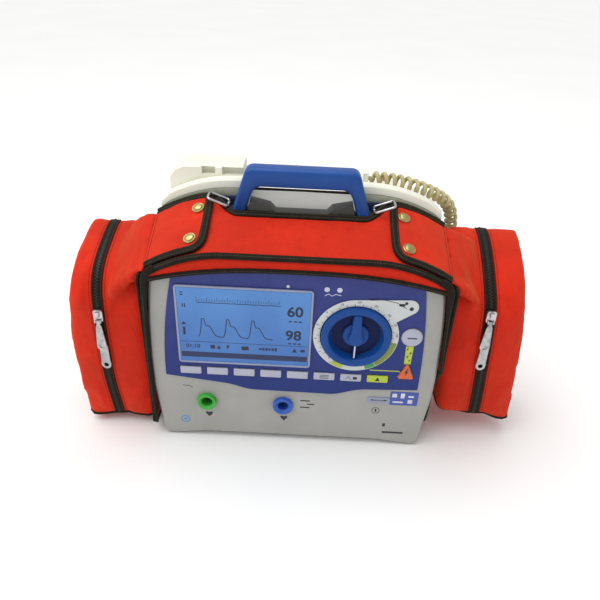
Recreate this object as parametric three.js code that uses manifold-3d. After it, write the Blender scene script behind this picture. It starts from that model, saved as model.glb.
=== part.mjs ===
// Portable defibrillator and monitor in a fabric carry bag with two side pouches.
// Millimetres. X is to the right, Y is to the back and Z is up. The origin is on the ground
// under the middle of the object. Depths are measured backwards from the device's front face.
import * as THREE from 'three';
import { mergeVertices } from 'three/addons/utils/BufferGeometryUtils.js';
import Module from 'manifold-3d';

// Gap between pieces that touch on the real object.
const gap = 0.3;

// The device's housing: two shells that meet behind the face.
const faceY = -72;
const housingDepth = 154;
const splitDepth = 62;
const wall = 3;
const edgeInset = 3;
const bottomCorner = 6;
const housingBottom = 6.4;
const lipDrop = 5.4;
const lipStartX = 108;
const lipEndX = 152;
const lipDepth = 28;
const lipFade = 12;
const widestHalf = 172.5;
const widestHeight = 120;
const frontTop = 262;
const topSlope = 0.39;
const slopeEndDepth = 72;
const rearFall = 0.07;
const archStart = 80;
const archReach = 92;
const archDrop = 29;

const footHalf = 104;
const frontFootDepths = [22, 36];
const rearFootDepths = [126, 140];

// What the housing holds: a circuit board, a battery and the shock capacitor.
const board = { half: 150, depths: [34, 36], heights: [32, 228] };
const battery = { across: [-146, -30], depths: [68, 145], heights: [13, 92] };
const capacitorSize = { radius: 27, length: 104 };
const capacitorCentre = { x: 70, depth: 108, z: 62 };

// The front panel: a membrane with a display, eight keys, a rotary dial and two buttons.
const membraneFront = -1.3;
const displayCentre = { x: -59, z: 176.5 };
const displaySize = { width: 156, height: 107 };
const keyCount = 8;
const keyPitch = 32.2;
const firstKeyX = -124;
const keyZ = 110.8;
const keySize = { width: 25.2, height: 10.2 };
const keyFront = -3.4;
const keyBack = -1.4;
const keyClearance = 0.5;
const dial = { x: 70, z: 171.5 };
const ringRadius = 49.5;
const wellRadius = 41.6;
const wellDepth = 12.2;
const knobRadius = 40.5;
const knobFront = -4;
const knobBack = 11.7;
const shaftRadius = 3.8;
const shaftHoleRadius = 4.3;
const socketHoleRadius = 10.4;
const roundButton = { x: 134.5, z: 174, radius: 12.3 };
const shockButton = { x: 134.5, z: 124.5, width: 20, height: 22 };
const ecgSocket = { x: -107, z: 61, radius: 12 };
const oximeterSocket = { x: -11.5, z: 60, radius: 12.6 };
const cardSlot = { x: 107, z: 76 };

// Two paddles in trays behind the carry handle.
const trayInner = 64;
const trayOuter = 168;
const trayFront = 86;
const trayRear = 152;
const rimTop = 301;
const trayFloor = 294;
const rimThickness = 2.2;
const paddleInner = 70;
const paddleOuter = 166;
const paddleFront = 89.5;
const paddleRear = 148.5;
const electrodeBottom = 294.4;
const electrodeTop = 295.5;
const paddleBaseTop = 309.3;
const ridgeTop = 320.5;
const deckTop = 310.9;
const ridgeBack = 15;
const gripRear = 146;
const gripTop = 331;
const recessHeights = [319, 328];

// Carry handle and its strap rings.
const handleDepth = 72;
const handleThickness = 22;
const handleTop = 343;
const handleFoot = 292;
const handleTopHalf = 62;
const handleFootHalf = 79;
const barHeight = 21;
const ringLength = 28;
const ringWidth = 22;
const ringWire = 3;
const ringTilt = THREE.MathUtils.degToRad(22);
const ringPivot = { x: 83.2, z: 297 };

// The fabric bag.
const fabric = 3;
const bagTopFront = 268;
const bagRearDepth = 58;
const bandLow = 251;
const bandDrop = 17.5;
const bandHalf = 166;
const flapInner = 105;
const flapOuter = 168;
const flapFront = 8;
const flapRear = 84;
const flapLift = 1;
const studRadius = 7.3;
const studLift = 1.9;
const upperStud = { x: 118, depth: 64 };
const lowerStud = { x: 121, depth: 21 };
const sideInner = 174.3;
const backHalf = 176;
const basePanel = { half: 166, depths: [44, 120], heights: [2.6, 5.6] };
// The right pouch hangs wider than the left, so the device stands this far left of the object's middle.
const deviceMiddle = 5.62;
const pouchInner = 179;
const pouchRear = 125;

// widths are [z, width]; lifts are [share of the width, rise of the underside]; shoulder is [depth, z];
// flare is how far the pouch swings outwards for each millimetre below flareTop.
const flareTop = 150;
const pouches = {
  left: {
    side: -1,
    front: 16,
    bottom: 2.5,
    zipX: 233,
    sliderZ: 172,
    flare: 0,
    widths: [[0, 87], [35, 93.5], [67, 96.5], [105, 96.5], [142, 95.5], [165, 93.5], [190, 90.6], [205, 88],
      [251, 85]],
    lifts: [[0, 6], [0.15, 5], [0.5, 11.5], [0.8, 4.5], [1, 0]],
    shoulder: [[19, 203], [26, 216], [38, 227], [56, 235], [95, 247], [117, 251], [123, 248], [125, 240]],
  },
  right: {
    side: 1,
    front: 24,
    bottom: 24,
    zipX: 227.5,
    sliderZ: 192,
    flare: 0.08,
    widths: [[24, 96], [40, 99.5], [60, 100], [88, 99], [120, 98], [148, 97], [168, 95], [202, 91],
      [217, 88.5], [264, 90]],
    lifts: [[0, 12], [0.65, 12], [0.8, 5], [0.95, 0], [1, 0]],
    shoulder: [[26.5, 205], [32, 219], [41, 229], [56, 240], [79, 253], [100, 261], [117, 264], [123, 261],
      [125, 252]],
  },
};

const pullLength = 77;
const pullWidth = 12;
const pullLinks = { upperEnd: 48, lowerStart: 35, offset: 1.2 };
const pullPivotDrop = 6;
const pullThickness = 1.6;
const pullStandOff = 5.5;

// Curly cord of the right paddle, as the tube that its coils fill.
const cordRadius = 8.5;
const glandDepth = 136;
const glandZ = 215;
const glandRoot = 172.6;
const glandFace = 180;
const cordStart = { x: 77, depth: 114, z: 320.2 };
const cordRoute = [
  [77, 114, 320.2],
  [98, 114, 319.8],
  [119, 115, 316.6],
  [139, 117, 310.6],
  [157, 121, 303],
  [172, 126, 293.5],
  [183, 131, 281],
  [189, 135, 264],
  [191, 138, 247],
  [191, 138, 230],
  [189, 137, 215],
];

const wasm = await Module();
wasm.setup();

// ---- helpers ----

function toSolid(geometry) {
  const bare = geometry.clone();
  bare.deleteAttribute('normal');
  bare.deleteAttribute('uv');
  const merged = mergeVertices(bare, 1e-4);
  return new wasm.Manifold(new wasm.Mesh({
    numProp: 3,
    vertProperties: new Float32Array(merged.attributes.position.array),
    triVerts: new Uint32Array(merged.index.array),
  }));
}

function toGeometry(solid) {
  const mesh = solid.getMesh();
  const geometry = new THREE.BufferGeometry();
  geometry.setAttribute('position', new THREE.BufferAttribute(new Float32Array(mesh.vertProperties), 3));
  geometry.setIndex(new THREE.BufferAttribute(new Uint32Array(mesh.triVerts), 1));
  geometry.computeVertexNormals();
  return geometry;
}

function join(...geometries) {
  return toGeometry(geometries.map(toSolid).reduce((all, next) => all.add(next)));
}

function cut(base, ...tools) {
  return toGeometry(tools.map(toSolid).reduce((all, next) => all.subtract(next), toSolid(base)));
}

// A point given by its depth behind the front face.
function place(x, depth, z) {
  return new THREE.Vector3(x, faceY + depth, z);
}

function box(xRange, depthRange, zRange) {
  const size = [xRange, depthRange, zRange].map(([low, high]) => high - low);
  const middle = [xRange, depthRange, zRange].map(([low, high]) => (low + high) / 2);
  const geometry = new THREE.BoxGeometry(...size);
  return geometry.translate(middle[0], faceY + middle[1], middle[2]);
}

// A shape drawn in X and Z, given thickness between two depths.
function plate(shape, frontDepth, backDepth, options = {}) {
  const bevel = options.bevel ?? 0;
  const geometry = new THREE.ExtrudeGeometry(shape, {
    depth: backDepth - frontDepth - 2 * bevel,
    bevelEnabled: bevel > 0,
    bevelSize: bevel,
    bevelThickness: bevel,
    bevelOffset: -bevel,
    bevelSegments: options.bevelSegments ?? 2,
    curveSegments: options.curveSegments ?? 6,
  });
  geometry.rotateX(Math.PI / 2);
  return geometry.translate(0, faceY + backDepth - bevel, 0);
}

function roundedRectangle(centreX, centreZ, width, height, radius, target = new THREE.Shape()) {
  const left = centreX - width / 2;
  const right = centreX + width / 2;
  const low = centreZ - height / 2;
  const high = centreZ + height / 2;
  target.moveTo(left + radius, low);
  target.lineTo(right - radius, low);
  target.absarc(right - radius, low + radius, radius, -Math.PI / 2, 0, false);
  target.lineTo(right, high - radius);
  target.absarc(right - radius, high - radius, radius, 0, Math.PI / 2, false);
  target.lineTo(left + radius, high);
  target.absarc(left + radius, high - radius, radius, Math.PI / 2, Math.PI, false);
  target.lineTo(left, low + radius);
  target.absarc(left + radius, low + radius, radius, Math.PI, 1.5 * Math.PI, false);
  return target;
}

// A turned piece whose axis runs from front to back. The profile is a list of [radius, depth].
function turned(centreX, centreZ, profile, segments) {
  const points = profile.map(([radius, depth]) => new THREE.Vector2(radius, -depth));
  const geometry = new THREE.LatheGeometry(points, segments);
  geometry.rotateX(Math.PI);
  return outward(mergeVertices(stripped(geometry), 1e-4)).translate(centreX, faceY, centreZ);
}

function stripped(geometry) {
  geometry.deleteAttribute('normal');
  geometry.deleteAttribute('uv');
  return geometry;
}

function volumeOf(geometry) {
  const position = geometry.attributes.position;
  const index = geometry.index.array;
  const corners = [new THREE.Vector3(), new THREE.Vector3(), new THREE.Vector3()];
  let volume = 0;
  for (let first = 0; first < index.length; first += 3) {
    corners.forEach((corner, offset) => corner.fromBufferAttribute(position, index[first + offset]));
    volume += corners[0].dot(corners[1].clone().cross(corners[2])) / 6;
  }
  return volume;
}

// Turns a closed surface's faces outwards.
function outward(geometry) {
  if (volumeOf(geometry) < 0) {
    const index = geometry.index.array;
    for (let first = 0; first < index.length; first += 3) {
      [index[first], index[first + 1]] = [index[first + 1], index[first]];
    }
  }
  geometry.computeVertexNormals();
  return geometry;
}

// Triangles that close a ring, turned the ring's own way or against it.
function capFaces(ring, firstIndex, forward) {
  const extent = new THREE.Box3().setFromPoints(ring).getSize(new THREE.Vector3());
  const flat = ring.map((point) => new THREE.Vector2(extent.x < extent.y ? point.y : point.x, point.z));
  const wanted = Math.sign(THREE.ShapeUtils.area(flat)) * (forward ? 1 : -1);
  return THREE.ShapeUtils.triangulateShape(flat, []).flatMap(([a, b, c]) => {
    const turn = Math.sign(THREE.ShapeUtils.area([flat[a], flat[b], flat[c]]));
    const triangle = turn === wanted ? [a, b, c] : [a, c, b];
    return triangle.map((corner) => firstIndex + corner);
  });
}

// Skins a row of closed rings that have the same number of points, and caps both ends.
function loft(rings) {
  const count = rings[0].length;
  const faces = [];
  for (let ring = 0; ring < rings.length - 1; ring += 1) {
    for (let step = 0; step < count; step += 1) {
      const here = ring * count + step;
      const beside = ring * count + (step + 1) % count;
      faces.push(here, beside, beside + count, here, beside + count, here + count);
    }
  }
  faces.push(...capFaces(rings[0], 0, false));
  faces.push(...capFaces(rings.at(-1), (rings.length - 1) * count, true));
  const positions = rings.flat().flatMap((point) => point.toArray());
  const geometry = new THREE.BufferGeometry();
  geometry.setAttribute('position', new THREE.Float32BufferAttribute(positions, 3));
  geometry.setIndex(faces);
  return outward(geometry);
}

// Sections at the given values of x, each a list of [depth, z].
function loftAcross(xValues, sectionAt) {
  return loft(xValues.map((x) => sectionAt(x).map(([depth, z]) => place(x, depth, z))));
}

function range(from, to, steps) {
  return Array.from({ length: steps + 1 }, (_, step) => from + (to - from) * step / steps);
}

const model = new THREE.Group();

// Every solid is made around the device's middle, then moved so that the whole object is centred.
function add(name, geometry, color, roughness, metalness = 0) {
  const material = new THREE.MeshStandardMaterial({ color, roughness, metalness });
  const mesh = new THREE.Mesh(geometry.translate(-deviceMiddle, 0, 0), material);
  mesh.name = name;
  model.add(mesh);
  return mesh;
}

const colours = {
  housing: 0xc9c6c2,
  membrane: 0x3a4fa0,
  blue: 0x2a4fa0,
  display: 0x4678b8,
  lightGrey: 0xd5d5dc,
  yellowGreen: 0xa9b83c,
  orange: 0xd8642c,
  green: 0x2f9e4e,
  cream: 0xeeeedd,
  rimGrey: 0xa0a587,
  navy: 0x232a4a,
  darkGrey: 0x4a4c48,
  steel: 0xb9bcc0,
  brass: 0xb59a5a,
  red: 0xd8402c,
  cord: 0xc8be96,
  rubber: 0x202020,
  board: 0x2f6b3a,
};

// ---- shared surfaces ----

// How far the arched top falls away from its flat middle.
function drop(x) {
  return archDrop * (Math.max(0, Math.abs(x) - archStart) / archReach) ** 2;
}

function housingTop(depth) {
  const rise = topSlope * Math.min(depth, slopeEndDepth);
  return frontTop + rise - rearFall * Math.max(0, depth - slopeEndDepth);
}

// The bag's top surface over the device.
function bagTop(x, depth) {
  return bagTopFront + topSlope * depth - drop(x);
}

// Half of the housing's width at a height: widest in the middle and drawn in towards the top.
function halfWidthAt(z) {
  const above = Math.max(0, z - widestHeight);
  const below = Math.max(0, widestHeight - z);
  const toe = Math.max(0, 28 - z);
  return widestHalf - 8.5 * (above / 115) ** 2 - 1.5 * (below / 100) ** 2 - 5 * (toe / 25) ** 2;
}

// How far the front lip of the housing's underside hangs down near its two corners.
function lipAt(x, depth) {
  const across = THREE.MathUtils.smoothstep(Math.abs(x), lipStartX, lipEndX);
  const along = 1 - THREE.MathUtils.clamp((depth - lipDepth) / lipFade, 0, 1);
  return lipDrop * across * along;
}

// The housing's outline at a depth, drawn in by an inset.
function housingRing(depth, inset) {
  const low = housingBottom + inset - lipAt(lipEndX, depth);
  const top = (x) => housingTop(depth) - drop(x) - inset;
  const side = (z) => halfWidthAt(z) - inset;
  const half = [0, lipStartX, (lipStartX + lipEndX) / 2, lipEndX]
    .map((x) => [x, housingBottom + inset - lipAt(x, depth)]);
  [30, 60, 90].forEach((degrees) => {
    const angle = THREE.MathUtils.degToRad(degrees);
    half.push([side(low) - bottomCorner * (1 - Math.sin(angle)), low + bottomCorner * (1 - Math.cos(angle))]);
  });
  [80, 130, 175, 205].forEach((z) => half.push([side(z), z]));
  const shoulderStart = top(162) - 12;
  const shoulder = new THREE.QuadraticBezierCurve(
    new THREE.Vector2(side(shoulderStart), shoulderStart),
    new THREE.Vector2(side(shoulderStart) - 1, top(160)),
    new THREE.Vector2(150 - inset, top(150 - inset)),
  );
  shoulder.getPoints(3).forEach((point) => half.push([point.x, point.y]));
  [130, 112, 96].forEach((x) => half.push([x, top(x)]));
  half.push([0, top(0)]);
  const mirrored = half.slice(1, -1).reverse().map(([x, z]) => [-x, z]);
  return [...half, ...mirrored].map(([x, z]) => place(x, depth, z));
}

// ---- housing ----

function frontHousing() {
  const lipEnd = lipDepth + lipFade;
  const outside = loft([[0, edgeInset], [edgeInset, 0], [lipDepth, 0], [lipEnd, 0], [splitDepth, 0]]
    .map(([depth, inset]) => housingRing(depth, inset)));
  const inside = loft([[wall, edgeInset + wall], [edgeInset + wall, wall], [lipDepth, wall], [lipEnd, wall],
    [splitDepth + 1, wall]].map(([depth, inset]) => housingRing(depth, inset)));
  const wellWall = turned(dial.x, dial.z, [[0, 1], [wellRadius + wall, 1],
    [wellRadius + wall, wellDepth + wall], [0, wellDepth + wall]], 40);
  const bore = (radius, from, to, segments) => (
    turned(dial.x, dial.z, [[0, from], [radius, from], [radius, to], [0, to]], segments));
  const well = bore(wellRadius, -1, wellDepth, 40);
  const shaftHole = bore(shaftHoleRadius, 5, 20, 16);
  const socketHoles = [ecgSocket, oximeterSocket].map((socket) => (
    turned(socket.x, socket.z, [[0, -1], [socketHoleRadius, -1], [socketHoleRadius, 6], [0, 6]], 20)));
  return cut(join(cut(outside, inside), wellWall), well, shaftHole, ...socketHoles);
}

function rearHousing() {
  const start = splitDepth + gap;
  const rear = housingDepth;
  const outside = loft([[start, 0], [slopeEndDepth, 0], [rear - edgeInset, 0], [rear, edgeInset]]
    .map(([depth, inset]) => housingRing(depth, inset)));
  const inside = loft([[start - 1, wall], [slopeEndDepth, wall], [rear - edgeInset - wall, wall],
    [rear - wall, edgeInset + wall]].map(([depth, inset]) => housingRing(depth, inset)));
  return cut(outside, inside);
}

add('front_housing', frontHousing(), colours.housing, 0.5);
add('rear_housing', rearHousing(), colours.housing, 0.5);
add('front_foot', box([-footHalf, footHalf], frontFootDepths, [0, housingBottom - gap]), colours.rubber, 0.9);
add('rear_foot', box([-footHalf, footHalf], rearFootDepths, [0, housingBottom - gap]), colours.rubber, 0.9);

// ---- inside the housing ----

add('main_circuit_board', box([-board.half, board.half], board.depths, board.heights), colours.board, 0.6);
add('battery_pack', box(battery.across, battery.depths, battery.heights), colours.darkGrey, 0.6);
const capacitor = new THREE.CylinderGeometry(capacitorSize.radius, capacitorSize.radius,
  capacitorSize.length, 24).rotateZ(Math.PI / 2);
capacitor.translate(capacitorCentre.x, faceY + capacitorCentre.depth, capacitorCentre.z);
add('shock_capacitor', capacitor, colours.navy, 0.5);

// ---- front panel ----

function membraneOutline() {
  const shape = new THREE.Shape();
  shape.moveTo(-155, 101);
  shape.lineTo(-84, 92);
  shape.bezierCurveTo(-66, 89.5, -62, 83.8, -46, 83.5);
  shape.lineTo(46, 82.5);
  shape.bezierCurveTo(62, 83, 70, 92, 92, 92.5);
  shape.lineTo(152, 95);
  shape.quadraticCurveTo(152.5, 170, 141, 240);
  shape.quadraticCurveTo(70, 252, 0, 252);
  shape.quadraticCurveTo(-70, 252, -139, 241);
  shape.quadraticCurveTo(-155, 170, -155, 101);
  return shape;
}

// The shock button's rounded triangle, grown by a margin.
function triangle(margin, target = new THREE.Shape()) {
  const { x, z, width, height } = shockButton;
  const half = width / 2 + 1.8 * margin;
  const low = z - height / 2 - margin;
  const high = z + height / 2 + 2.4 * margin;
  target.moveTo(x - half + 3, low);
  target.lineTo(x + half - 3, low);
  target.quadraticCurveTo(x + half, low, x + half - 1.2, low + 3);
  target.lineTo(x + 1.5, high - 2);
  target.quadraticCurveTo(x, high, x - 1.5, high - 2);
  target.lineTo(x - half + 1.2, low + 3);
  target.quadraticCurveTo(x - half, low, x - half + 3, low);
  return target;
}

function circle(x, z, radius, target = new THREE.Path()) {
  target.absarc(x, z, radius, 0, 2 * Math.PI, false);
  return target;
}

function frontMembrane() {
  const shape = membraneOutline();
  for (let key = 0; key < keyCount; key += 1) {
    shape.holes.push(roundedRectangle(firstKeyX + keyPitch * key, keyZ, keySize.width + 2 * keyClearance,
      keySize.height + 2 * keyClearance, 1.5, new THREE.Path()));
  }
  shape.holes.push(circle(dial.x, dial.z, wellRadius));
  shape.holes.push(circle(roundButton.x, roundButton.z, roundButton.radius + keyClearance));
  shape.holes.push(triangle(keyClearance, new THREE.Path()));
  return plate(shape, membraneFront, -gap, { curveSegments: 12 });
}

// The scale ring round the dial, with a lobe at its upper right.
function dialRing() {
  const lobe = { x: dial.x + 57, z: dial.z + 43, radius: 9.5 };
  const shape = new THREE.Shape();
  shape.absarc(dial.x, dial.z, ringRadius, Math.PI / 2, 2.15 * Math.PI, false);
  shape.absarc(lobe.x, lobe.z, lobe.radius, -Math.PI / 4, Math.PI / 2, false);
  shape.holes.push(circle(dial.x, dial.z, wellRadius));
  return plate(shape, membraneFront - gap - 1.2, membraneFront - gap, { curveSegments: 20 });
}

// A dished knob with a grip bar standing up from the dish.
function rotaryKnob() {
  const dish = turned(dial.x, dial.z, [[0, knobBack], [knobRadius, knobBack], [knobRadius, knobFront + 2],
    [knobRadius - 1.5, knobFront], [knobRadius - 4, knobFront], [knobRadius - 12, 4.5], [0, 5.5]], 36);
  const grip = box([dial.x - 5, dial.x + 5], [knobFront - 3, 7], [dial.z - 12, dial.z + knobRadius - 3]);
  const hub = turned(dial.x, dial.z, [[0, 7], [13, 7], [10.5, knobFront - 2], [0, knobFront - 3.5]], 24);
  return join(dish, grip, hub);
}

function socket({ x, z, radius }, bore) {
  return turned(x, z, [[0, 14], [socketHoleRadius - gap, 14], [socketHoleRadius - gap, -gap], [radius, -gap],
    [radius, -4], [radius - 1.5, -5.5], [bore, -5.5], [bore, 7], [0, 7]], 24);
}

function displayFrame() {
  const { width, height } = displaySize;
  const outline = roundedRectangle(displayCentre.x, displayCentre.z, width, height, 4);
  const body = plate(outline, membraneFront - 2.3, membraneFront - gap);
  const recess = box(
    [displayCentre.x - displaySize.width / 2 + 2.4, displayCentre.x + displaySize.width / 2 - 2.4],
    [-9, membraneFront - 1.1],
    [displayCentre.z - displaySize.height / 2 + 2.4, displayCentre.z + displaySize.height / 2 - 2.4]);
  return cut(body, recess);
}

add('front_membrane', frontMembrane(), colours.membrane, 0.35);
add('display_frame', displayFrame(), colours.lightGrey, 0.4);
add('display_glass', box(
  [displayCentre.x - displaySize.width / 2 + 2.8, displayCentre.x + displaySize.width / 2 - 2.8],
  [membraneFront - 2.1, membraneFront - 1.1 - gap],
  [displayCentre.z - displaySize.height / 2 + 2.8, displayCentre.z + displaySize.height / 2 - 2.8]),
colours.display, 0.1);
for (let key = 0; key < keyCount; key += 1) {
  const outline = roundedRectangle(firstKeyX + keyPitch * key, keyZ, keySize.width, keySize.height, 1.2);
  const color = key === keyCount - 1 ? colours.yellowGreen : colours.lightGrey;
  add(`key_${key + 1}`, plate(outline, keyFront, keyBack, { curveSegments: 2 }), color, 0.4);
}
add('dial_ring', dialRing(), colours.lightGrey, 0.4);
add('rotary_knob', rotaryKnob(), colours.blue, 0.35);
add('knob_shaft', turned(dial.x, dial.z, [[0, knobBack + gap], [shaftRadius, knobBack + gap],
  [shaftRadius, 26], [0, 26]], 16), colours.steel, 0.3, 1);
add('round_button', turned(roundButton.x, roundButton.z, [[0, keyBack], [roundButton.radius, keyBack],
  [roundButton.radius, -3.2], [roundButton.radius - 1.5, -4], [0, -4.3]], 28), colours.lightGrey, 0.4);
add('shock_button', plate(triangle(0), -3.8, keyBack, { curveSegments: 3 }), colours.orange, 0.4);
add('ecg_socket', socket(ecgSocket, 7), colours.green, 0.4);
add('oximeter_socket', socket(oximeterSocket, 6.5), colours.blue, 0.4);

const slotFace = roundedRectangle(cardSlot.x, cardSlot.z, 28, 8, 2.5);
slotFace.holes.push(roundedRectangle(cardSlot.x, cardSlot.z, 20, 2.4, 1, new THREE.Path()));
add('card_slot', plate(slotFace, -1.4, -gap, { curveSegments: 3 }), colours.lightGrey, 0.4);

// ---- paddle trays and paddles ----

// A paddle's rounded outer end falls away a little more than the arch does.
function endFall(x) {
  return 5 * Math.max(0, (Math.abs(x) - 150) / (paddleOuter - 150)) ** 2;
}

function addPaddle(side, word) {
  const across = (from, to, steps) => range(side * from, side * to, steps);
  const on = (x, z) => z - drop(x);

  add(`${word}_paddle_tray`, loftAcross(across(trayInner, trayOuter, 8), (x) => [
    [trayFront, on(x, housingTop(trayFront) + 0.5)],
    [trayRear, on(x, housingTop(trayRear) + 0.5)],
    [trayRear, on(x, rimTop)],
    [trayRear - rimThickness, on(x, rimTop)],
    [trayRear - rimThickness, on(x, trayFloor)],
    [trayFront + rimThickness, on(x, trayFloor)],
    [trayFront + rimThickness, on(x, rimTop)],
    [trayFront, on(x, rimTop)],
  ]), colours.navy, 0.5);

  add(`${word}_paddle_electrode`, loftAcross(across(paddleInner + 5, paddleOuter - 5, 7), (x) => [
    [paddleFront + 6, on(x, electrodeBottom)],
    [paddleRear - 6, on(x, electrodeBottom)],
    [paddleRear - 6, on(x, electrodeTop)],
    [paddleFront + 6, on(x, electrodeTop)],
  ]), colours.steel, 0.25, 1);

  add(`${word}_paddle_base`, loftAcross(across(paddleInner, paddleOuter, 9), (x) => {
    const top = on(x, paddleBaseTop) - 0.6 * endFall(x);
    const bottom = on(x, electrodeTop + gap);
    return [
      [paddleFront + 3, bottom],
      [paddleRear - 3, bottom],
      [paddleRear, bottom + 3],
      [paddleRear, top],
      [paddleFront, top],
      [paddleFront, bottom + 3],
    ];
  }), colours.rimGrey, 0.5);

  const shell = loftAcross(across(paddleInner, paddleOuter, 9), (x) => {
    const fall = endFall(x);
    const bottom = on(x, paddleBaseTop + gap) - 0.6 * fall;
    const ridge = on(x, ridgeTop) - fall;
    const deck = Math.max(on(x, deckTop) - fall, bottom + 1);
    return [
      [paddleFront, bottom],
      [paddleRear, bottom],
      [paddleRear - 1, deck - 0.5],
      [paddleFront + ridgeBack, deck],
      [paddleFront + ridgeBack - 3, ridge - 2],
      [paddleFront + ridgeBack - 6, ridge],
      [paddleFront + 4, ridge],
      [paddleFront + 1, ridge - 3],
    ];
  });
  const cover = join(shell, side < 0 ? leftGrip() : cordBoss());
  add(`${word}_paddle_cover`, cover, colours.cream, 0.45);

  const cap = new THREE.CylinderGeometry(5, 5.6, 2.6, 20);
  if (side < 0) {
    // On the back of the grip, under the fingers.
    cap.translate(-112, faceY + gripRear + 2.7, 316);
  } else {
    cap.rotateX(Math.PI / 2);
    cap.translate(100, faceY + 140, on(100, deckTop) + 3.4);
  }
  add(`${word}_paddle_button`, cap, colours.orange, 0.4);
}

// The left paddle's raised grip block, with two finger recesses in its front.
function leftGrip() {
  const block = loftAcross([-157, -150, -140, -125, -110, -95, -82, -paddleInner], (x) => {
    const top = gripTop - 14 * Math.max(0, (-x - 134) / 23) ** 3;
    const low = deckTop - 1.2 - drop(x) - 0.8 * endFall(x);
    return [[104, low], [gripRear, low], [gripRear, top - 8], [138, top], [110, top], [104, top - 4]];
  });
  return cut(block, box([-119, -103], [100, 114], recessHeights), box([-95, -60], [100, 114], recessHeights));
}

// The right paddle's boss, where its cord comes out.
function cordBoss() {
  return box([paddleInner + 0.6, cordStart.x - gap], [cordStart.depth - 7.6, cordStart.depth + 8],
    [deckTop - 0.9, cordStart.z + 8]);
}

addPaddle(-1, 'left');
addPaddle(1, 'right');

// ---- carry handle ----

function carryHandle() {
  const shape = new THREE.Shape();
  const windowTop = handleTop - barHeight;
  shape.moveTo(-handleFootHalf, handleFoot);
  shape.lineTo(-handleFootHalf + 15, handleFoot);
  shape.lineTo(-handleTopHalf + 5, windowTop - 9);
  shape.quadraticCurveTo(-handleTopHalf + 9, windowTop, -handleTopHalf + 16, windowTop);
  shape.lineTo(handleTopHalf - 16, windowTop);
  shape.quadraticCurveTo(handleTopHalf - 9, windowTop, handleTopHalf - 5, windowTop - 9);
  shape.lineTo(handleFootHalf - 15, handleFoot);
  shape.lineTo(handleFootHalf, handleFoot);
  shape.lineTo(handleTopHalf + 3, handleTop - 7);
  shape.quadraticCurveTo(handleTopHalf, handleTop, handleTopHalf - 7, handleTop);
  shape.lineTo(-handleTopHalf + 7, handleTop);
  shape.quadraticCurveTo(-handleTopHalf, handleTop, -handleTopHalf - 3, handleTop - 7);
  shape.closePath();
  return plate(shape, handleDepth - handleThickness / 2, handleDepth + handleThickness / 2,
    { bevel: 3, bevelSegments: 2, curveSegments: 4 });
}

// The plate that the handle stands on, with a wedge inboard of each foot.
function handleBase() {
  const low = housingTop(slopeEndDepth) + 0.5;
  const flatTop = handleFoot - gap;
  const half = [[handleFootHalf + 4, low], [handleFootHalf + 4, flatTop], [61.5, flatTop], [58.5, 304],
    [36, 299], [29, flatTop]];
  const shape = new THREE.Shape();
  shape.moveTo(-half[0][0], low);
  half.forEach(([x, z]) => shape.lineTo(x, z));
  [...half].reverse().forEach(([x, z]) => shape.lineTo(-x, z));
  return plate(shape, 63, 81);
}

// A rectangular wire ring that leans on the bag's edge, tilted up towards its outer end.
function strapRing(side) {
  const outline = roundedRectangle(ringLength / 2 - ringWire / 2, 0, ringLength, ringWidth, 3.5);
  outline.holes.push(roundedRectangle(ringLength / 2 - ringWire / 2, 0, ringLength - 2 * ringWire,
    ringWidth - 2 * ringWire, 1.5, new THREE.Path()));
  const options = { depth: ringWire, bevelEnabled: false, curveSegments: 3 };
  const geometry = new THREE.ExtrudeGeometry(outline, options);
  geometry.translate(0, 0, -ringWire / 2);
  geometry.rotateY(-ringTilt);
  if (side < 0) {
    geometry.rotateZ(Math.PI);
  }
  return geometry.translate(side * ringPivot.x, faceY + handleDepth, ringPivot.z);
}

add('carry_handle', carryHandle(), colours.blue, 0.35);
add('handle_base', handleBase(), colours.darkGrey, 0.5);
add('left_strap_ring', strapRing(-1), colours.steel, 0.2, 1);
add('right_strap_ring', strapRing(1), colours.steel, 0.2, 1);

// ---- bag ----

// The red top panel and the band that hangs from its front edge, as one bent sheet.
function bagTopPanel() {
  return loftAcross(range(-bandHalf, bandHalf, 20), (x) => {
    const low = bandLow - bandDrop * (Math.abs(x) / 163) ** 2.6;
    const top = bagTop(x, 0);
    const rear = bagTop(x, bagRearDepth);
    return [
      [-4.8, low],
      [-4.8, top - 5],
      [-3.6, top - 1.5],
      [0, top],
      [bagRearDepth, rear],
      [bagRearDepth, rear - fabric],
      [1, top - fabric + 0.3],
      [-1.8, top - fabric - 3],
      [-1.8, low],
    ];
  });
}

// A shoulder flap, its front inner corner cut round.
function flap(side) {
  return loftAcross(range(side * flapInner, side * flapOuter, 8), (x) => {
    const cornerCut = 14 * Math.max(0, 1 - (Math.abs(x) - flapInner) / 16) ** 2;
    const front = flapFront + cornerCut;
    const low = (depth) => bagTop(x, depth) + flapLift;
    return [
      [front, low(front)],
      [front, low(front) + fabric],
      [flapRear, low(flapRear) + fabric],
      [flapRear, low(flapRear)],
    ];
  });
}

function stud(side, { x: acrossX, depth }) {
  const x = side * acrossX;
  const geometry = new THREE.CylinderGeometry(studRadius - 1.4, studRadius, 2.4, 20).rotateX(Math.PI / 2);
  geometry.rotateX(Math.atan(topSlope));
  const slopeAcross = 2 * archDrop * (acrossX - archStart) / archReach ** 2;
  geometry.rotateY(side * Math.atan(slopeAcross));
  return geometry.translate(x, faceY + depth, bagTop(x, depth) + flapLift + fabric + studLift);
}

// The value at a place in a table of [place, value] rows, straight between the rows.
function interpolate(table, at) {
  const next = table.findIndex(([start]) => start >= at);
  if (next === 0 || next === -1) {
    return table.at(next)[1];
  }
  const [[start, low], [end, high]] = [table[next - 1], table[next]];
  return low + (high - low) * (at - start) / (end - start);
}

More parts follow.
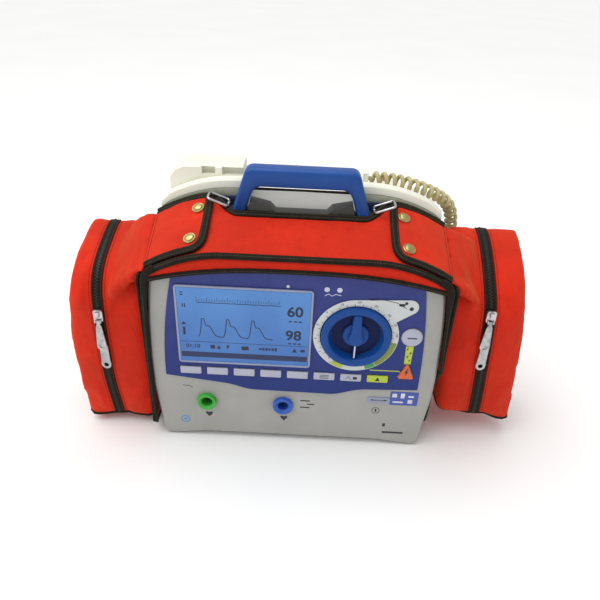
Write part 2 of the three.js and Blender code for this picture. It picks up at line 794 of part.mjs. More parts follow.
// A pouch: a padded block with a soft inner side, a crisp outer edge and an underside that bows up.
function pouch({ side, front, bottom, flare, widths, lifts, shoulder }) {
  const heights = [60, 85, 110, 135, 160, 188];
  const hem = 40;
  const profile = (inset) => [
    [front + inset + 6, bottom + inset],
    [front + inset + 1.5, bottom + inset + 2],
    [front + inset, bottom + inset + 8],
    ...heights.map((z) => [front + inset, z]),
    ...shoulder.map(([depth, z]) => [Math.min(depth + inset, pouchRear - inset), z - inset]),
    ...[...heights].reverse().map((z) => [pouchRear - inset, z]),
    [pouchRear - inset, bottom + inset + 8],
    [pouchRear - inset - 6, bottom + inset],
  ];
  const rings = [[0, 8], [0.03, 2.5], [0.09, 0], [0.3, 0], [0.5, 0], [0.66, 0], [0.8, 0], [0.94, 0],
    [0.985, 1.2], [1, 4]];
  return loft(rings.map(([share, inset]) => profile(inset).map(([depth, z]) => {
    const swing = flare * Math.max(0, flareTop - z);
    const across = pouchInner + swing + share * interpolate(widths, z);
    const rise = interpolate(lifts, share) * Math.max(0, 1 - (z - bottom) / hem);
    return place(side * across, depth, z + rise);
  })));
}

// The slider's body, with a bridge above and two ears that hold the pull.
function zipSlider({ side, front, zipX, sliderZ }) {
  const x = side * zipX;
  const body = plate(roundedRectangle(x, sliderZ, 11, 16, 3), front - 3.4, front - 0.6, { curveSegments: 3 });
  const bridge = box([x - 2, x + 2], [front - 6.4, front - 3], [sliderZ - 1, sliderZ + 6.5]);
  const ears = [-3.9, 2.5].map((start) => (
    box([x + start, x + start + 1.4], [front - 7, front - 3], [sliderZ - 7.8, sliderZ - 4])));
  return join(body, bridge, ...ears);
}

// One flat link of a pull, rounded at its foot, with a hole near each end.
function pullLink(x, top, bottom, neck, front, back) {
  const half = pullWidth / 2;
  const outline = [[neck, top], [neck, top - 5], [neck + 1.4, top - 8], [half - 0.6, bottom + 12],
    [half, bottom + 7], [half - 0.8, bottom + 3.4], [half - 3, bottom + 0.8], [1.2, bottom]];
  const shape = new THREE.Shape();
  shape.moveTo(x - neck, top);
  outline.forEach(([across, z]) => shape.lineTo(x + across, z));
  [...outline].reverse().forEach(([across, z]) => shape.lineTo(x - across, z));
  shape.holes.push(circle(x, bottom + half, half / 2));
  return plate(shape, front, back, { curveSegments: 5 });
}

// The pull: a link between the slider's ears, riveted to a second link behind its foot.
function zipPull({ side, front, zipX, sliderZ }) {
  const x = side * zipX;
  const middle = front - pullStandOff;
  const top = sliderZ - pullPivotDrop + pullThickness / 2;
  const { upperEnd, lowerStart, offset } = pullLinks;
  const upperFront = middle - pullThickness / 2;
  const lowerFront = middle + pullThickness / 2 - 0.1;
  const upper = pullLink(x, top, sliderZ - upperEnd, 2, upperFront, upperFront + pullThickness);
  const lower = pullLink(x + offset, sliderZ - lowerStart, sliderZ - pullLength, 3.5,
    lowerFront, lowerFront + pullThickness - 0.2);
  return join(upper, lower);
}

function bagBackPanel() {
  const depth = housingDepth;
  const shape = new THREE.Shape();
  const low = 14;
  const topAt = (x) => housingTop(depth) - drop(x) - 1;
  shape.moveTo(-160, low - 7);
  shape.lineTo(160, low - 7);
  shape.quadraticCurveTo(backHalf, low - 7, backHalf, low + 8);
  shape.lineTo(backHalf, 225);
  shape.quadraticCurveTo(backHalf, topAt(165), 155, topAt(155));
  [135, 110, 85, -85, -110, -135, -155].forEach((x) => shape.lineTo(x, topAt(x)));
  shape.quadraticCurveTo(-backHalf, topAt(165), -backHalf, 225);
  shape.lineTo(-backHalf, low + 8);
  shape.quadraticCurveTo(-backHalf, low - 7, -160, low - 7);
  return plate(shape, depth + 0.6, depth + 0.6 + fabric, { curveSegments: 4 });
}

// A side panel between the device and a pouch, low at the back where the cord's gland is.
function bagSidePanel(side) {
  const shape = new THREE.Shape();
  const foot = side < 0 ? [[-2, 24], [8, 15]] : [[-2, 126], [20, 90], [26, 24], [32, 15]];
  const outline = [...foot, [153, 15], [153, 196], [114, 196], [104, 236], [-2, 236]];
  outline.forEach(([depth, z], index) => {
    const point = [side * (faceY + depth), z];
    if (index === 0) {
      shape.moveTo(...point);
    } else {
      shape.lineTo(...point);
    }
  });
  const geometry = new THREE.ExtrudeGeometry(shape, { depth: fabric, bevelEnabled: false });
  geometry.rotateX(Math.PI / 2);
  geometry.rotateZ(side * Math.PI / 2);
  return geometry.translate(side > 0 ? sideInner : -sideInner, 0, 0);
}

add('bag_top_panel', bagTopPanel(), colours.red, 0.8);
add('bag_back_panel', bagBackPanel(), colours.red, 0.8);
const basePanelBox = box([-basePanel.half, basePanel.half], basePanel.depths, basePanel.heights);
add('bag_base_panel', basePanelBox, colours.red, 0.8);
add('left_bag_side', bagSidePanel(-1), colours.red, 0.8);
add('right_bag_side', bagSidePanel(1), colours.red, 0.8);
['left', 'right'].forEach((word) => {
  const details = pouches[word];
  add(`${word}_flap`, flap(details.side), colours.red, 0.8);
  add(`${word}_upper_stud`, stud(details.side, upperStud), colours.brass, 0.3, 1);
  add(`${word}_lower_stud`, stud(details.side, lowerStud), colours.brass, 0.3, 1);
  add(`${word}_pouch`, pouch(details), colours.red, 0.8);
  add(`${word}_zip_slider`, zipSlider(details), colours.steel, 0.25, 1);
  add(`${word}_zip_pull`, zipPull(details), colours.steel, 0.25, 1);
});

// ---- paddle cord ----

function gland(side) {
  const geometry = new THREE.CylinderGeometry(6, 8, glandFace - glandRoot, 20);
  geometry.rotateZ(-side * Math.PI / 2);
  return geometry.translate(side * (glandFace + glandRoot) / 2, faceY + glandDepth, glandZ);
}

// The space that the curly cord's coils fill, from the paddle's boss round to the gland.
function paddleCord() {
  const route = new THREE.CatmullRomCurve3(cordRoute.map(([x, depth, z]) => place(x, depth, z)));
  const section = new THREE.Shape();
  for (let corner = 0; corner < 10; corner += 1) {
    const angle = corner * Math.PI / 5;
    section[corner === 0 ? 'moveTo' : 'lineTo'](cordRadius * Math.cos(angle), cordRadius * Math.sin(angle));
  }
  return new THREE.ExtrudeGeometry(section, { steps: 44, extrudePath: route, bevelEnabled: false });
}

add('left_cord_gland', gland(-1), colours.rubber, 0.8);
add('right_cord_gland', gland(1), colours.rubber, 0.8);
add('paddle_cord', paddleCord(), colours.cord, 0.6);

export default model;
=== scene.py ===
# Portable defibrillator and monitor in a red carry bag, finished around its CAD frame.
# Helpers work in millimetres: x to the right, depth behind the device's front face, z up.
import functools
import math

import bmesh
import bpy
from mathutils import Matrix, Vector, noise
from mathutils.bvhtree import BVHTree
from mathutils.kdtree import KDTree


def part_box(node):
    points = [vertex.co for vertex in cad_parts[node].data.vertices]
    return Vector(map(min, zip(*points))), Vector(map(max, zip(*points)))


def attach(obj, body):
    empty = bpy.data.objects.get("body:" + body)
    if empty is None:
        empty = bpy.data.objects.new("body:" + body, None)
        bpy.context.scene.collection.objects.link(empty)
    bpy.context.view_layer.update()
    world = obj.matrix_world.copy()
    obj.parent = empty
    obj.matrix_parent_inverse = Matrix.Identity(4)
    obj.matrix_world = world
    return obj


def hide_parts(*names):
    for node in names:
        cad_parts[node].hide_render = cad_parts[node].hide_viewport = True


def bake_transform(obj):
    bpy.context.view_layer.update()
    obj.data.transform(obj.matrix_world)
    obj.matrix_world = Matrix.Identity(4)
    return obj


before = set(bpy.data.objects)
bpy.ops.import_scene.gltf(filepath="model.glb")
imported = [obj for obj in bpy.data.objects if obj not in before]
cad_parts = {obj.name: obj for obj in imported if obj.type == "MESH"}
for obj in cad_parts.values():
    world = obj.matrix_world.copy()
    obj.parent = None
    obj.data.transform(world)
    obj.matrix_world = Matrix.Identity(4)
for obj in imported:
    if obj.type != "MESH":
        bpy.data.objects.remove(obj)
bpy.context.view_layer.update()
scene = bpy.context.scene
scene.view_settings.view_transform = "Standard"

MM = 0.001
FACE_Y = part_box("front_housing")[0].y
MIDDLE_X = sum(corner.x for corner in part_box("front_housing")) / 2

# ---- camera ----

SENSOR = 36.0
PICTURE_PIXELS = 600
FOCAL_PIXELS = 582.6
CAMERA_PLACE = Vector((MIDDLE_X + 0.0066, -0.6232, 0.5605))
CAMERA_ELEVATION = math.radians(32.0)
CAMERA_AZIMUTH = math.radians(0.30)
CAMERA_ROLL = math.radians(2.67)


def make_camera():
    data = bpy.data.cameras.new("camera")
    data.sensor_width = SENSOR
    data.lens = FOCAL_PIXELS / PICTURE_PIXELS * SENSOR
    data.clip_start = 0.05
    data.clip_end = 20.0
    camera = bpy.data.objects.new("camera", data)
    scene.collection.objects.link(camera)
    turn = Matrix.Rotation(CAMERA_AZIMUTH, 4, "Z")
    turn @= Matrix.Rotation(math.pi / 2 - CAMERA_ELEVATION, 4, "X")
    turn @= Matrix.Rotation(CAMERA_ROLL, 4, "Z")
    camera.matrix_world = Matrix.Translation(CAMERA_PLACE) @ turn
    scene.camera = camera


make_camera()

# ---- places and surfaces ----


def place(x, depth, z):
    return Vector((MIDDLE_X + x * MM, FACE_Y + depth * MM, z * MM))


def across(point):
    """How far a point lies to the right of the device's middle, in millimetres."""
    return (point.x - MIDDLE_X) / MM


@functools.cache
def node_box(node):
    """Lowest and highest corner of a CAD node, in millimetres, with depth for Y."""
    low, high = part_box(node)
    return [Vector((across(p), (p.y - FACE_Y) / MM, p.z / MM)) for p in (low, high)]


@functools.cache
def node_middle(node):
    low, high = node_box(node)
    return (low + high) / 2


ARCH_START = 80
ARCH_REACH = 92
ARCH_DROP = 29
TOP_SLOPE = 0.39
PANEL_HIGH = node_box("bag_top_panel")[1]
PANEL_HALF = PANEL_HIGH.x
PANEL_REAR = PANEL_HIGH.y
# How far the flaps lie above the top panel, and how thick the cloth is.
FLAP_LIFT = 1.0
CLOTH = 2.4


def drop(x):
    """How far the arched top falls away from its flat middle."""
    return ARCH_DROP * (max(0, abs(x) - ARCH_START) / ARCH_REACH) ** 2


def bag_top(x, depth):
    return PANEL_HIGH.z - TOP_SLOPE * (PANEL_REAR - depth) - drop(x)


def top_normal(x):
    slope = 2 * ARCH_DROP * max(0, abs(x) - ARCH_START) / ARCH_REACH**2
    return Vector((math.copysign(slope, x), -TOP_SLOPE, 1)).normalized()


def smoothstep(low, high, value):
    t = min(1, max(0, (value - low) / (high - low)))
    return t * t * (3 - 2 * t)


def lerp(a, b, t):
    return a + (b - a) * t


def spread(low, high, count):
    return [lerp(low, high, i / (count - 1)) for i in range(count)]


def smooth_path(points, step):
    """A Catmull-Rom line through the points, as even steps of about the given length in metres."""
    ends = [2 * points[0] - points[1], *points, 2 * points[-1] - points[-2]]
    fine = []
    for a, b, c, d in zip(ends, ends[1:], ends[2:], ends[3:]):
        for i in range(24):
            t = i / 24
            fine.append(0.5 * (2 * b + (c - a) * t + (2 * a - 5 * b + 4 * c - d) * t**2
                               + (3 * b - a - 3 * c + d) * t**3))
    fine.append(points[-1])
    return even_path(fine, step)


def even_path(points, step):
    lengths = [(b - a).length for a, b in zip(points, points[1:])]
    total = sum(lengths)
    count = max(2, round(total / step))
    path, segment, walked = [], 0, 0.0
    for i in range(count + 1):
        goal = min(total, total * i / count)
        while segment < len(lengths) - 1 and walked + lengths[segment] < goal:
            walked += lengths[segment]
            segment += 1
        t = (goal - walked) / max(lengths[segment], 1e-12)
        path.append(points[segment].lerp(points[segment + 1], min(1, t)))
    return path


def tangents(path, closed=False):
    count = len(path)
    if closed:
        return [(path[(i + 1) % count] - path[i - 1]).normalized() for i in range(count)]
    return [(path[min(i + 1, count - 1)] - path[max(i - 1, 0)]).normalized() for i in range(count)]


# ---- making meshes ----


class Form:
    """The points and faces of one piece while it is being made."""

    def __init__(self):
        self.points = []
        self.faces = []
        self.along = []

    def add(self, points, faces, along=None):
        start = len(self.points)
        self.points += points
        self.faces += [tuple(start + i for i in face) for face in faces]
        self.along += along or [0.0] * len(points)

    def sweep(self, path, normals, section, closed=False, scale=None):
        """A section, listed as (across, up) in millimetres, carried along a path."""
        size = len(section)
        points, along, walked = [], [], 0.0
        for i, (point, tangent) in enumerate(zip(path, tangents(path, closed))):
            up = (normals[i] - tangent * normals[i].dot(tangent)).normalized()
            aside = tangent.cross(up)
            grow = scale[i] if scale else 1.0
            points += [point + (aside * a + up * b) * grow * MM for a, b in section]
            walked += (point - path[i - 1]).length if i else 0
            along += [walked] * size
        rings = len(path)
        faces = []
        for ring in range(rings if closed else rings - 1):
            here, there = ring * size, (ring + 1) % rings * size
            for i in range(size):
                j = (i + 1) % size
                faces.append((here + i, here + j, there + j, there + i))
        if not closed:
            faces += [tuple(range(size)), tuple(range((rings - 1) * size, rings * size))]
        self.add(points, faces, along)
        return self

    def turn(self, centre, profile, count=48, axis=Vector((0, -1, 0))):
        """A turned shape, its profile listed as (radius, height) in millimetres along the axis."""
        side = axis.orthogonal().normalized()
        other = axis.cross(side)
        points, faces, rows = [], [], []
        for radius, height in profile:
            if radius < 1e-6:
                rows.append([len(points)])
                points.append(centre + axis * height * MM)
                continue
            rows.append(list(range(len(points), len(points) + count)))
            for i in range(count):
                angle = 2 * math.pi * i / count
                spoke = side * math.cos(angle) + other * math.sin(angle)
                points.append(centre + (spoke * radius + axis * height) * MM)
        for low, high in zip(rows, rows[1:]):
            for i in range(count):
                j = (i + 1) % count
                ring = [low[i % len(low)], low[j % len(low)], high[j % len(high)], high[i % len(high)]]
                faces.append(tuple(dict.fromkeys(ring)))
        self.add(points, [face for face in faces if len(face) > 2])
        return self

    def slab(self, outline, front, back):
        """A flat shape, its outline listed as (x, z), between two depths."""
        count = len(outline)
        points = [place(x, depth, z) for depth in (front, back) for x, z in outline]
        faces = [tuple(range(count)), tuple(range(count, 2 * count))]
        faces += [(i, (i + 1) % count, (i + 1) % count + count, i + count) for i in range(count)]
        self.add(points, faces)
        return self

    def grid(self, rows, thickness, inward):
        """A cloth sheet: rows of points on its outer face, and a thickness in millimetres along inward."""
        wide, tall = len(rows[0]), len(rows)
        outer = [point for row in rows for point in row]
        inner = [point + inward(point) * thickness * MM for point in outer]
        size = wide * tall
        faces = []
        for r in range(tall - 1):
            for c in range(wide - 1):
                quad = (r * wide + c, r * wide + c + 1, (r + 1) * wide + c + 1, (r + 1) * wide + c)
                faces += [quad, tuple(size + i for i in reversed(quad))]
        rim = list(range(wide))
        rim += [r * wide + wide - 1 for r in range(1, tall)]
        rim += [(tall - 1) * wide + c for c in range(wide - 2, -1, -1)]
        rim += [r * wide for r in range(tall - 2, 0, -1)]
        faces += [(a, b, b + size, a + size) for a, b in zip(rim, rim[1:] + rim[:1])]
        self.add(outer + inner, faces)
        return self

    def mesh(self, name):
        mesh = bpy.data.meshes.new(name)
        mesh.from_pydata(self.points, [], self.faces)
        along = mesh.attributes.new("along", "FLOAT", "POINT")
        along.data.foreach_set("value", self.along)
        return tidy(mesh)


def tidy(mesh):
    """Joins doubled points and turns every face outwards."""
    work = bmesh.new()
    work.from_mesh(mesh)
    bmesh.ops.remove_doubles(work, verts=work.verts, dist=1e-6)
    bmesh.ops.recalc_face_normals(work, faces=work.faces)
    work.to_mesh(mesh)
    work.free()
    return mesh


def settle(piece):
    """Applies a piece's modifiers to its mesh."""
    bpy.context.view_layer.update()
    graph = bpy.context.evaluated_depsgraph_get()
    mesh = bpy.data.meshes.new_from_object(piece.evaluated_get(graph))
    piece.modifiers.clear()
    piece.data = mesh
    return piece


def make_piece(name, mesh, material, body, replaces=(), bevel=0, segments=3, smooth=35):
    """Puts a mesh into the scene as a finished piece that rides on a CAD body."""
    piece = bpy.data.objects.new(name, mesh)
    scene.collection.objects.link(piece)
    if bevel:
        edges = piece.modifiers.new("edges", "BEVEL")
        edges.width = bevel * MM
        edges.segments = segments
        edges.limit_method = "ANGLE"
        edges.angle_limit = math.radians(28)
    settle(piece)
    piece.data.materials.clear()
    piece.data.materials.append(material)
    piece.data.shade_smooth()
    piece.data.set_sharp_from_angle(angle=math.radians(smooth))
    if body:
        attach(piece, body)
    if replaces:
        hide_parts(*([replaces] if isinstance(replaces, str) else replaces))
    return piece


def polish(node, name, material, body, bevel):
    """A CAD node's own shape with its flat facets merged and its edges rounded."""
    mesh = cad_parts[node].data.copy()
    mesh.materials.clear()
    work = bmesh.new()
    work.from_mesh(mesh)
    bmesh.ops.remove_doubles(work, verts=work.verts, dist=2e-6)
    bmesh.ops.dissolve_limit(work, angle_limit=math.radians(0.6), verts=work.verts, edges=work.edges)
    bmesh.ops.recalc_face_normals(work, faces=work.faces)
    work.to_mesh(mesh)
    work.free()
    return make_piece(name, mesh, material, body, node, bevel=bevel)


def oval(width, height, count=14, power=2.6):
    """A flattened round section, in millimetres."""
    section = []
    for i in range(count):
        angle = 2 * math.pi * i / count
        c, s = math.cos(angle), math.sin(angle)
        section.append((math.copysign(abs(c) ** (2 / power), c) * width / 2,
                        math.copysign(abs(s) ** (2 / power), s) * height / 2))
    return section


def circle(x, z, radius, count=32):
    return [(x + radius * math.sin(2 * math.pi * i / count), z + radius * math.cos(2 * math.pi * i / count))
            for i in range(count)]


def rounded_box(x, z, width, height, radius, steps=5):
    outline = []
    for corner, (sx, sz) in enumerate(((1, 1), (-1, 1), (-1, -1), (1, -1))):
        for i in range(steps + 1):
            angle = math.pi / 2 * (corner + i / steps)
            outline.append((x + sx * (width / 2 - radius) + radius * math.cos(angle),
                            z + sz * (height / 2 - radius) + radius * math.sin(angle)))
    return outline


def arc_band(x, z, inner, outer, start, end):
    """Part of a ring between two clock angles, in degrees clockwise from the top."""
    angles = [math.radians(a) for a in spread(start, end, max(3, int(abs(end - start) / 3) + 2))]
    ring = [(x + outer * math.sin(a), z + outer * math.cos(a)) for a in angles]
    return ring + [(x + inner * math.sin(a), z + inner * math.cos(a)) for a in reversed(angles)]


def bar(start, end, width):
    """A straight line of the given width, as an outline."""
    a, b = Vector(start), Vector(end)
    side = Vector((-(b - a).y, (b - a).x)).normalized() * width / 2
    return [tuple(a + side), tuple(b + side), tuple(b - side), tuple(a - side)]


def line_band(points, width):
    """A bent line of the given width, as an outline."""
    points = [Vector(p) for p in points]
    sides = []
    for i in range(len(points)):
        run = (points[min(i + 1, len(points) - 1)] - points[max(i - 1, 0)]).normalized()
        sides.append(Vector((-run.y, run.x)) * width / 2)
    left = [tuple(p + s) for p, s in zip(points, sides)]
    return left + [tuple(p - s) for p, s in zip(reversed(points), reversed(sides))]


def numerals(form, text, size, x, z, depth, turn=0.0, bold=0.0):
    """Digits that stand a hair's breadth proud of a face."""
    curve = bpy.data.curves.new("digits", "FONT")
    curve.body = text
    curve.size = size * MM
    curve.align_x = "CENTER"
    curve.align_y = "CENTER"
    curve.extrude = 0.04 * MM
    curve.offset = bold * MM
    curve.resolution_u = 4
    holder = bpy.data.objects.new("digits", curve)
    scene.collection.objects.link(holder)
    bpy.context.view_layer.update()
    graph = bpy.context.evaluated_depsgraph_get()
    mesh = bpy.data.meshes.new_from_object(holder.evaluated_get(graph))
    stand = Matrix.Translation(place(x, depth, z)) @ Matrix.Rotation(math.radians(turn), 4, "Y")
    mesh.transform(stand @ Matrix.Rotation(math.pi / 2, 4, "X"))
    form.add([v.co.copy() for v in mesh.vertices], [tuple(p.vertices) for p in mesh.polygons])
    bpy.data.objects.remove(holder)
    bpy.data.meshes.remove(mesh)
    bpy.data.curves.remove(curve)


# ---- materials ----


def node(tree, kind, inputs=None, **settings):
    made = tree.nodes.new("ShaderNode" + kind)
    for key, value in settings.items():
        setattr(made, key, value)
    for key, value in (inputs or {}).items():
        if isinstance(value, bpy.types.NodeSocket):
            tree.links.new(value, made.inputs[key])
        else:
            made.inputs[key].default_value = value
    return made


def rgb(red, green, blue):
    """A colour given as it looks on screen, from 0 to 255."""
    return tuple(((c / 255 + 0.055) / 1.055) ** 2.4 if c > 10 else c / 255 / 12.92
                 for c in (red, green, blue)) + (1.0,)


def shade(colour, factor):
    return tuple(min(1.0, c * factor) for c in colour[:3]) + (1.0,)


class Finish:
    """A material under construction: one principled shader with object coordinates in metres."""

    def __init__(self, name):
        self.material = bpy.data.materials.new(name)
        self.material.use_nodes = True
        self.tree = self.material.node_tree
        self.tree.nodes.clear()
        self.shader = node(self.tree, "BsdfPrincipled")
        output = node(self.tree, "OutputMaterial")
        self.tree.links.new(self.shader.outputs[0], output.inputs["Surface"])
        self.where = node(self.tree, "TexCoord").outputs["Object"]

    def noise(self, size, detail=3.0, stretch=None):
        """Noise whose features are about size millimetres across."""
        where = self.where
        if stretch:
            where = node(self.tree, "Mapping", {"Vector": where, "Scale": stretch}).outputs[0]
        scale = 1 / (size * MM)
        return node(self.tree, "TexNoise", {"Vector": where, "Scale": scale, "Detail": detail}).outputs[0]

    def remap(self, value, low, high, start=0.0, end=1.0):
        return node(self.tree, "MapRange", {0: value, 1: start, 2: end, 3: low, 4: high}).outputs[0]

    def math(self, operation, a, b=0.0):
        return node(self.tree, "Math", {0: a, 1: b}, operation=operation).outputs[0]

    def blend(self, factor, a, b):
        mix = node(self.tree, "Mix", {0: factor, 6: a, 7: b}, data_type="RGBA")
        return mix.outputs[2]

    def edge(self, radius):
        """Near one on convex and concave edges and zero on flat faces."""
        smooth = node(self.tree, "Bevel", {0: radius * MM}, samples=4).outputs[0]
        flat = node(self.tree, "NewGeometry").outputs["Normal"]
        dot = node(self.tree, "VectorMath", {0: smooth, 1: flat}, operation="DOT_PRODUCT").outputs["Value"]
        return self.remap(dot, 1.0, 0.0, 0.80, 0.995)

    def bump(self, height, depth, strength=0.6):
        made = node(self.tree, "Bump", {"Height": height, "Distance": depth * MM, "Strength": strength})
        self.tree.links.new(made.outputs[0], self.shader.inputs["Normal"])
        return self

    def set(self, **values):
        for key, value in values.items():
            socket = self.shader.inputs[key.replace("_", " ").title().replace("Ior", "IOR")]
            if isinstance(value, bpy.types.NodeSocket):
                self.tree.links.new(value, socket)
            else:
                socket.default_value = value
        return self


def moulded(name, colour, rough=0.42, grain=0.35, wear=0.25, soil=0.85, gloss=0.5):
    """Injection-moulded plastic: a fine spark-eroded grain, faint blotches and paler rubbed edges."""
    f = Finish(name)
    blotch = f.remap(f.noise(38), 0.0, 1.0, 0.3, 0.7)
    speck = f.remap(f.noise(1.6, 5.0), 0.0, 1.0, 0.35, 0.75)
    base = f.blend(blotch, shade(colour, soil), colour)
    base = f.blend(f.math("MULTIPLY", speck, 0.25), base, shade(colour, soil * 0.9))
    rubbed = f.math("MULTIPLY", f.edge(0.9), f.remap(f.noise(5), 0.2, wear * 2, 0.35, 0.7))
    pale = tuple(min(1.0, c * 0.75 + 0.18) for c in colour[:3]) + (1.0,)
    f.set(base_color=f.blend(rubbed, base, pale), roughness=f.remap(speck, rough - 0.05, rough + 0.12),
          specular_ior_level=gloss)
    return f.bump(f.noise(grain, 2.0), 0.05, 0.35).material


def metal(name, colour, rough=0.25, stretch=(1.0, 1.0, 12.0)):
    """Plated or drawn metal with fine scratches and dull patches."""
    f = Finish(name)
    scratch = f.noise(0.5, 4.0, stretch)
    dull = f.remap(f.noise(7, 4.0), 0.0, 1.0, 0.4, 0.75)
    f.set(base_color=f.blend(dull, colour, shade(colour, 0.62)), metallic=1.0,
          roughness=f.remap(f.math("ADD", f.math("MULTIPLY", scratch, 0.5), dull),
                            rough - 0.08, rough + 0.22))
    return f.bump(scratch, 0.02, 0.3).material


def weave(f, pitch):
    """Height of a plain weave whose threads are pitch millimetres apart, on any face."""
    scale = math.pi / (10 * pitch * MM)
    waves = [node(f.tree, "TexWave", {"Vector": f.where, "Scale": scale, "Distortion": 0.0},
                  bands_direction=axis).outputs["Fac"] for axis in "XYZ"]
    pairs = [f.math("MULTIPLY", waves[i], waves[j]) for i, j in ((0, 1), (1, 2), (0, 2))]
    return f.math("ADD", f.math("ADD", pairs[0], pairs[1]), pairs[2])


def woven(name, colour, pitch=0.9, rough=0.62, sheen=0.42, tint=(1.0, 0.36, 0.13, 1.0)):
    """Coated nylon cloth: a plain weave, faded patches, darker soil and a soft sheen."""
    f = Finish(name)
    threads = weave(f, pitch)
    faded = f.remap(f.noise(60, 3.0), 0.0, 1.0, 0.35, 0.7)
    soil = f.remap(f.noise(11, 6.0), 0.0, 0.5, 0.5, 0.8)
    fibre = f.remap(f.noise(0.35, 2.0), 0.0, 0.4, 0.3, 0.7)
    base = f.blend(faded, shade(colour, 0.86), shade(colour, 1.08))
    base = f.blend(soil, base, shade(colour, 0.72))
    base = f.blend(f.math("MULTIPLY", fibre, f.remap(threads, 1.0, 0.2)), base, shade(colour, 0.6))
    f.set(base_color=base, roughness=f.remap(threads, rough + 0.12, rough - 0.08),
          sheen_weight=sheen, sheen_roughness=0.45, sheen_tint=tint, specular_ior_level=0.12)
    height = f.math("ADD", threads, f.math("MULTIPLY", f.noise(4.5, 4.0), 1.1))
    return f.bump(height, 0.16, 0.55).material


def webbing(name, colour, rib=1.1, sheen=0.08):
    """Ribbed binding tape: ribs across its length, dusty high spots and a slight sheen."""
    f = Finish(name)
    along = node(f.tree, "Attribute", attribute_name="along").outputs["Fac"]
    ribs = f.math("SINE", f.math("MULTIPLY", along, 2 * math.pi / (rib * MM)))
    ribs = f.remap(ribs, 0.0, 1.0, -1.0, 1.0)
    dust = f.remap(f.noise(9, 5.0), 0.0, 0.75, 0.42, 0.75)
    base = f.blend(dust, colour, shade(colour, 2.0))
    base = f.blend(f.math("MULTIPLY", ribs, 0.4), base, shade(colour, 0.55))
    f.set(base_color=base, roughness=f.remap(ribs, 0.8, 0.6), sheen_weight=sheen, sheen_roughness=0.4,
          sheen_tint=(0.9, 0.8, 0.55, 1.0), specular_ior_level=0.16)
    height = f.math("ADD", ribs, f.math("MULTIPLY", f.noise(0.6, 3.0), 0.8))
    return f.bump(height, 0.14, 0.5).material


def printed(name, colour, rough=0.35, deep=0.85):
    """Ink on a film: even, with a trace of mottling and fine surface texture."""
    f = Finish(name)
    mottle = f.remap(f.noise(16, 3.0), 0.0, 1.0, 0.35, 0.65)
    fine = f.noise(0.4, 2.0)
    f.set(base_color=f.blend(mottle, colour, shade(colour, deep)),
          roughness=f.remap(fine, rough - 0.04, rough + 0.08))
    return f.bump(fine, 0.015, 0.3).material


def film(name, top, bottom, low, high):
    """The panel's printed film, lighter towards its top, with a silky surface."""
    f = Finish(name)
    height = node(f.tree, "SeparateXYZ", {0: f.where}).outputs[2]
    fade = f.remap(height, 0.0, 1.0, low * MM, high * MM)
    base = f.blend(fade, bottom, top)
    mottle = f.remap(f.noise(22, 4.0), 0.0, 0.35, 0.35, 0.7)
    rubbed = f.math("MULTIPLY", f.edge(0.6), 0.4)
    base = f.blend(mottle, base, shade(bottom, 0.8))
    silk = f.noise(0.3, 2.0)
    f.set(base_color=f.blend(rubbed, base, shade(top, 1.5)), roughness=f.remap(silk, 0.3, 0.45),
          specular_ior_level=0.25)
    return f.bump(silk, 0.02, 0.4).material


def lit_screen(name, top, bottom, low, high):
    """A lit liquid-crystal display: a vertical glow, faint columns and dark fringes."""
    f = Finish(name)
    parts = node(f.tree, "SeparateXYZ", {0: f.where})
    fade = f.remap(parts.outputs[2], 0.0, 1.0, low * MM, high * MM)
    cloud = f.remap(f.noise(55, 2.0), -0.25, 0.25, 0.3, 0.7)
    base = f.blend(f.math("ADD", fade, cloud), bottom, top)
    column = f.math("SINE", f.math("MULTIPLY", parts.outputs[0], 2 * math.pi / (1.2 * MM)))
    base = f.blend(f.remap(column, 0.0, 0.07, -1.0, 1.0), base, rgb(20, 40, 90))
    f.set(base_color=base, roughness=0.12, emission_color=base, emission_strength=0.12,
          coat_weight=0.25, coat_roughness=0.08)
    return f.material


def rubber(name, colour, rough=0.75):
    f = Finish(name)
    bloom = f.remap(f.noise(6, 5.0), 0.0, 0.6, 0.4, 0.75)
    f.set(base_color=f.blend(bloom, colour, shade(colour, 2.4)), roughness=f.remap(bloom, rough - 0.1, rough))
    return f.bump(f.noise(0.5, 3.0), 0.05, 0.4).material


def jacket(name, colour):
    """The curly cord's satin jacket, greyer where it has been handled."""
    f = Finish(name)
    grime = f.remap(f.noise(7, 5.0), 0.0, 0.65, 0.42, 0.7)
    fine = f.noise(0.5, 3.0)
    f.set(base_color=f.blend(grime, colour, shade(colour, 0.62)), roughness=f.remap(fine, 0.38, 0.58))
    return f.bump(fine, 0.03, 0.4).material


def board_mask(name):
    """A circuit board's solder mask with darker tracks."""
    f = Finish(name)
    tracks = node(f.tree, "TexBrick", {"Vector": f.where, "Scale": 90.0, "Mortar Size": 0.03})
    tracks.inputs["Color1"].default_value = rgb(38, 100, 52)
    tracks.inputs["Color2"].default_value = rgb(30, 84, 44)
    tracks.inputs["Mortar"].default_value = rgb(60, 130, 70)
    f.set(base_color=tracks.outputs[0], roughness=f.remap(f.noise(3), 0.3, 0.5))
    return f.material


def table_top(name):
    """A pale, faintly mottled table top."""
    f = Finish(name)
    f.set(base_color=f.blend(f.noise(400, 2.0), rgb(243, 243, 242), rgb(249, 249, 248)), roughness=0.9)
    return f.material


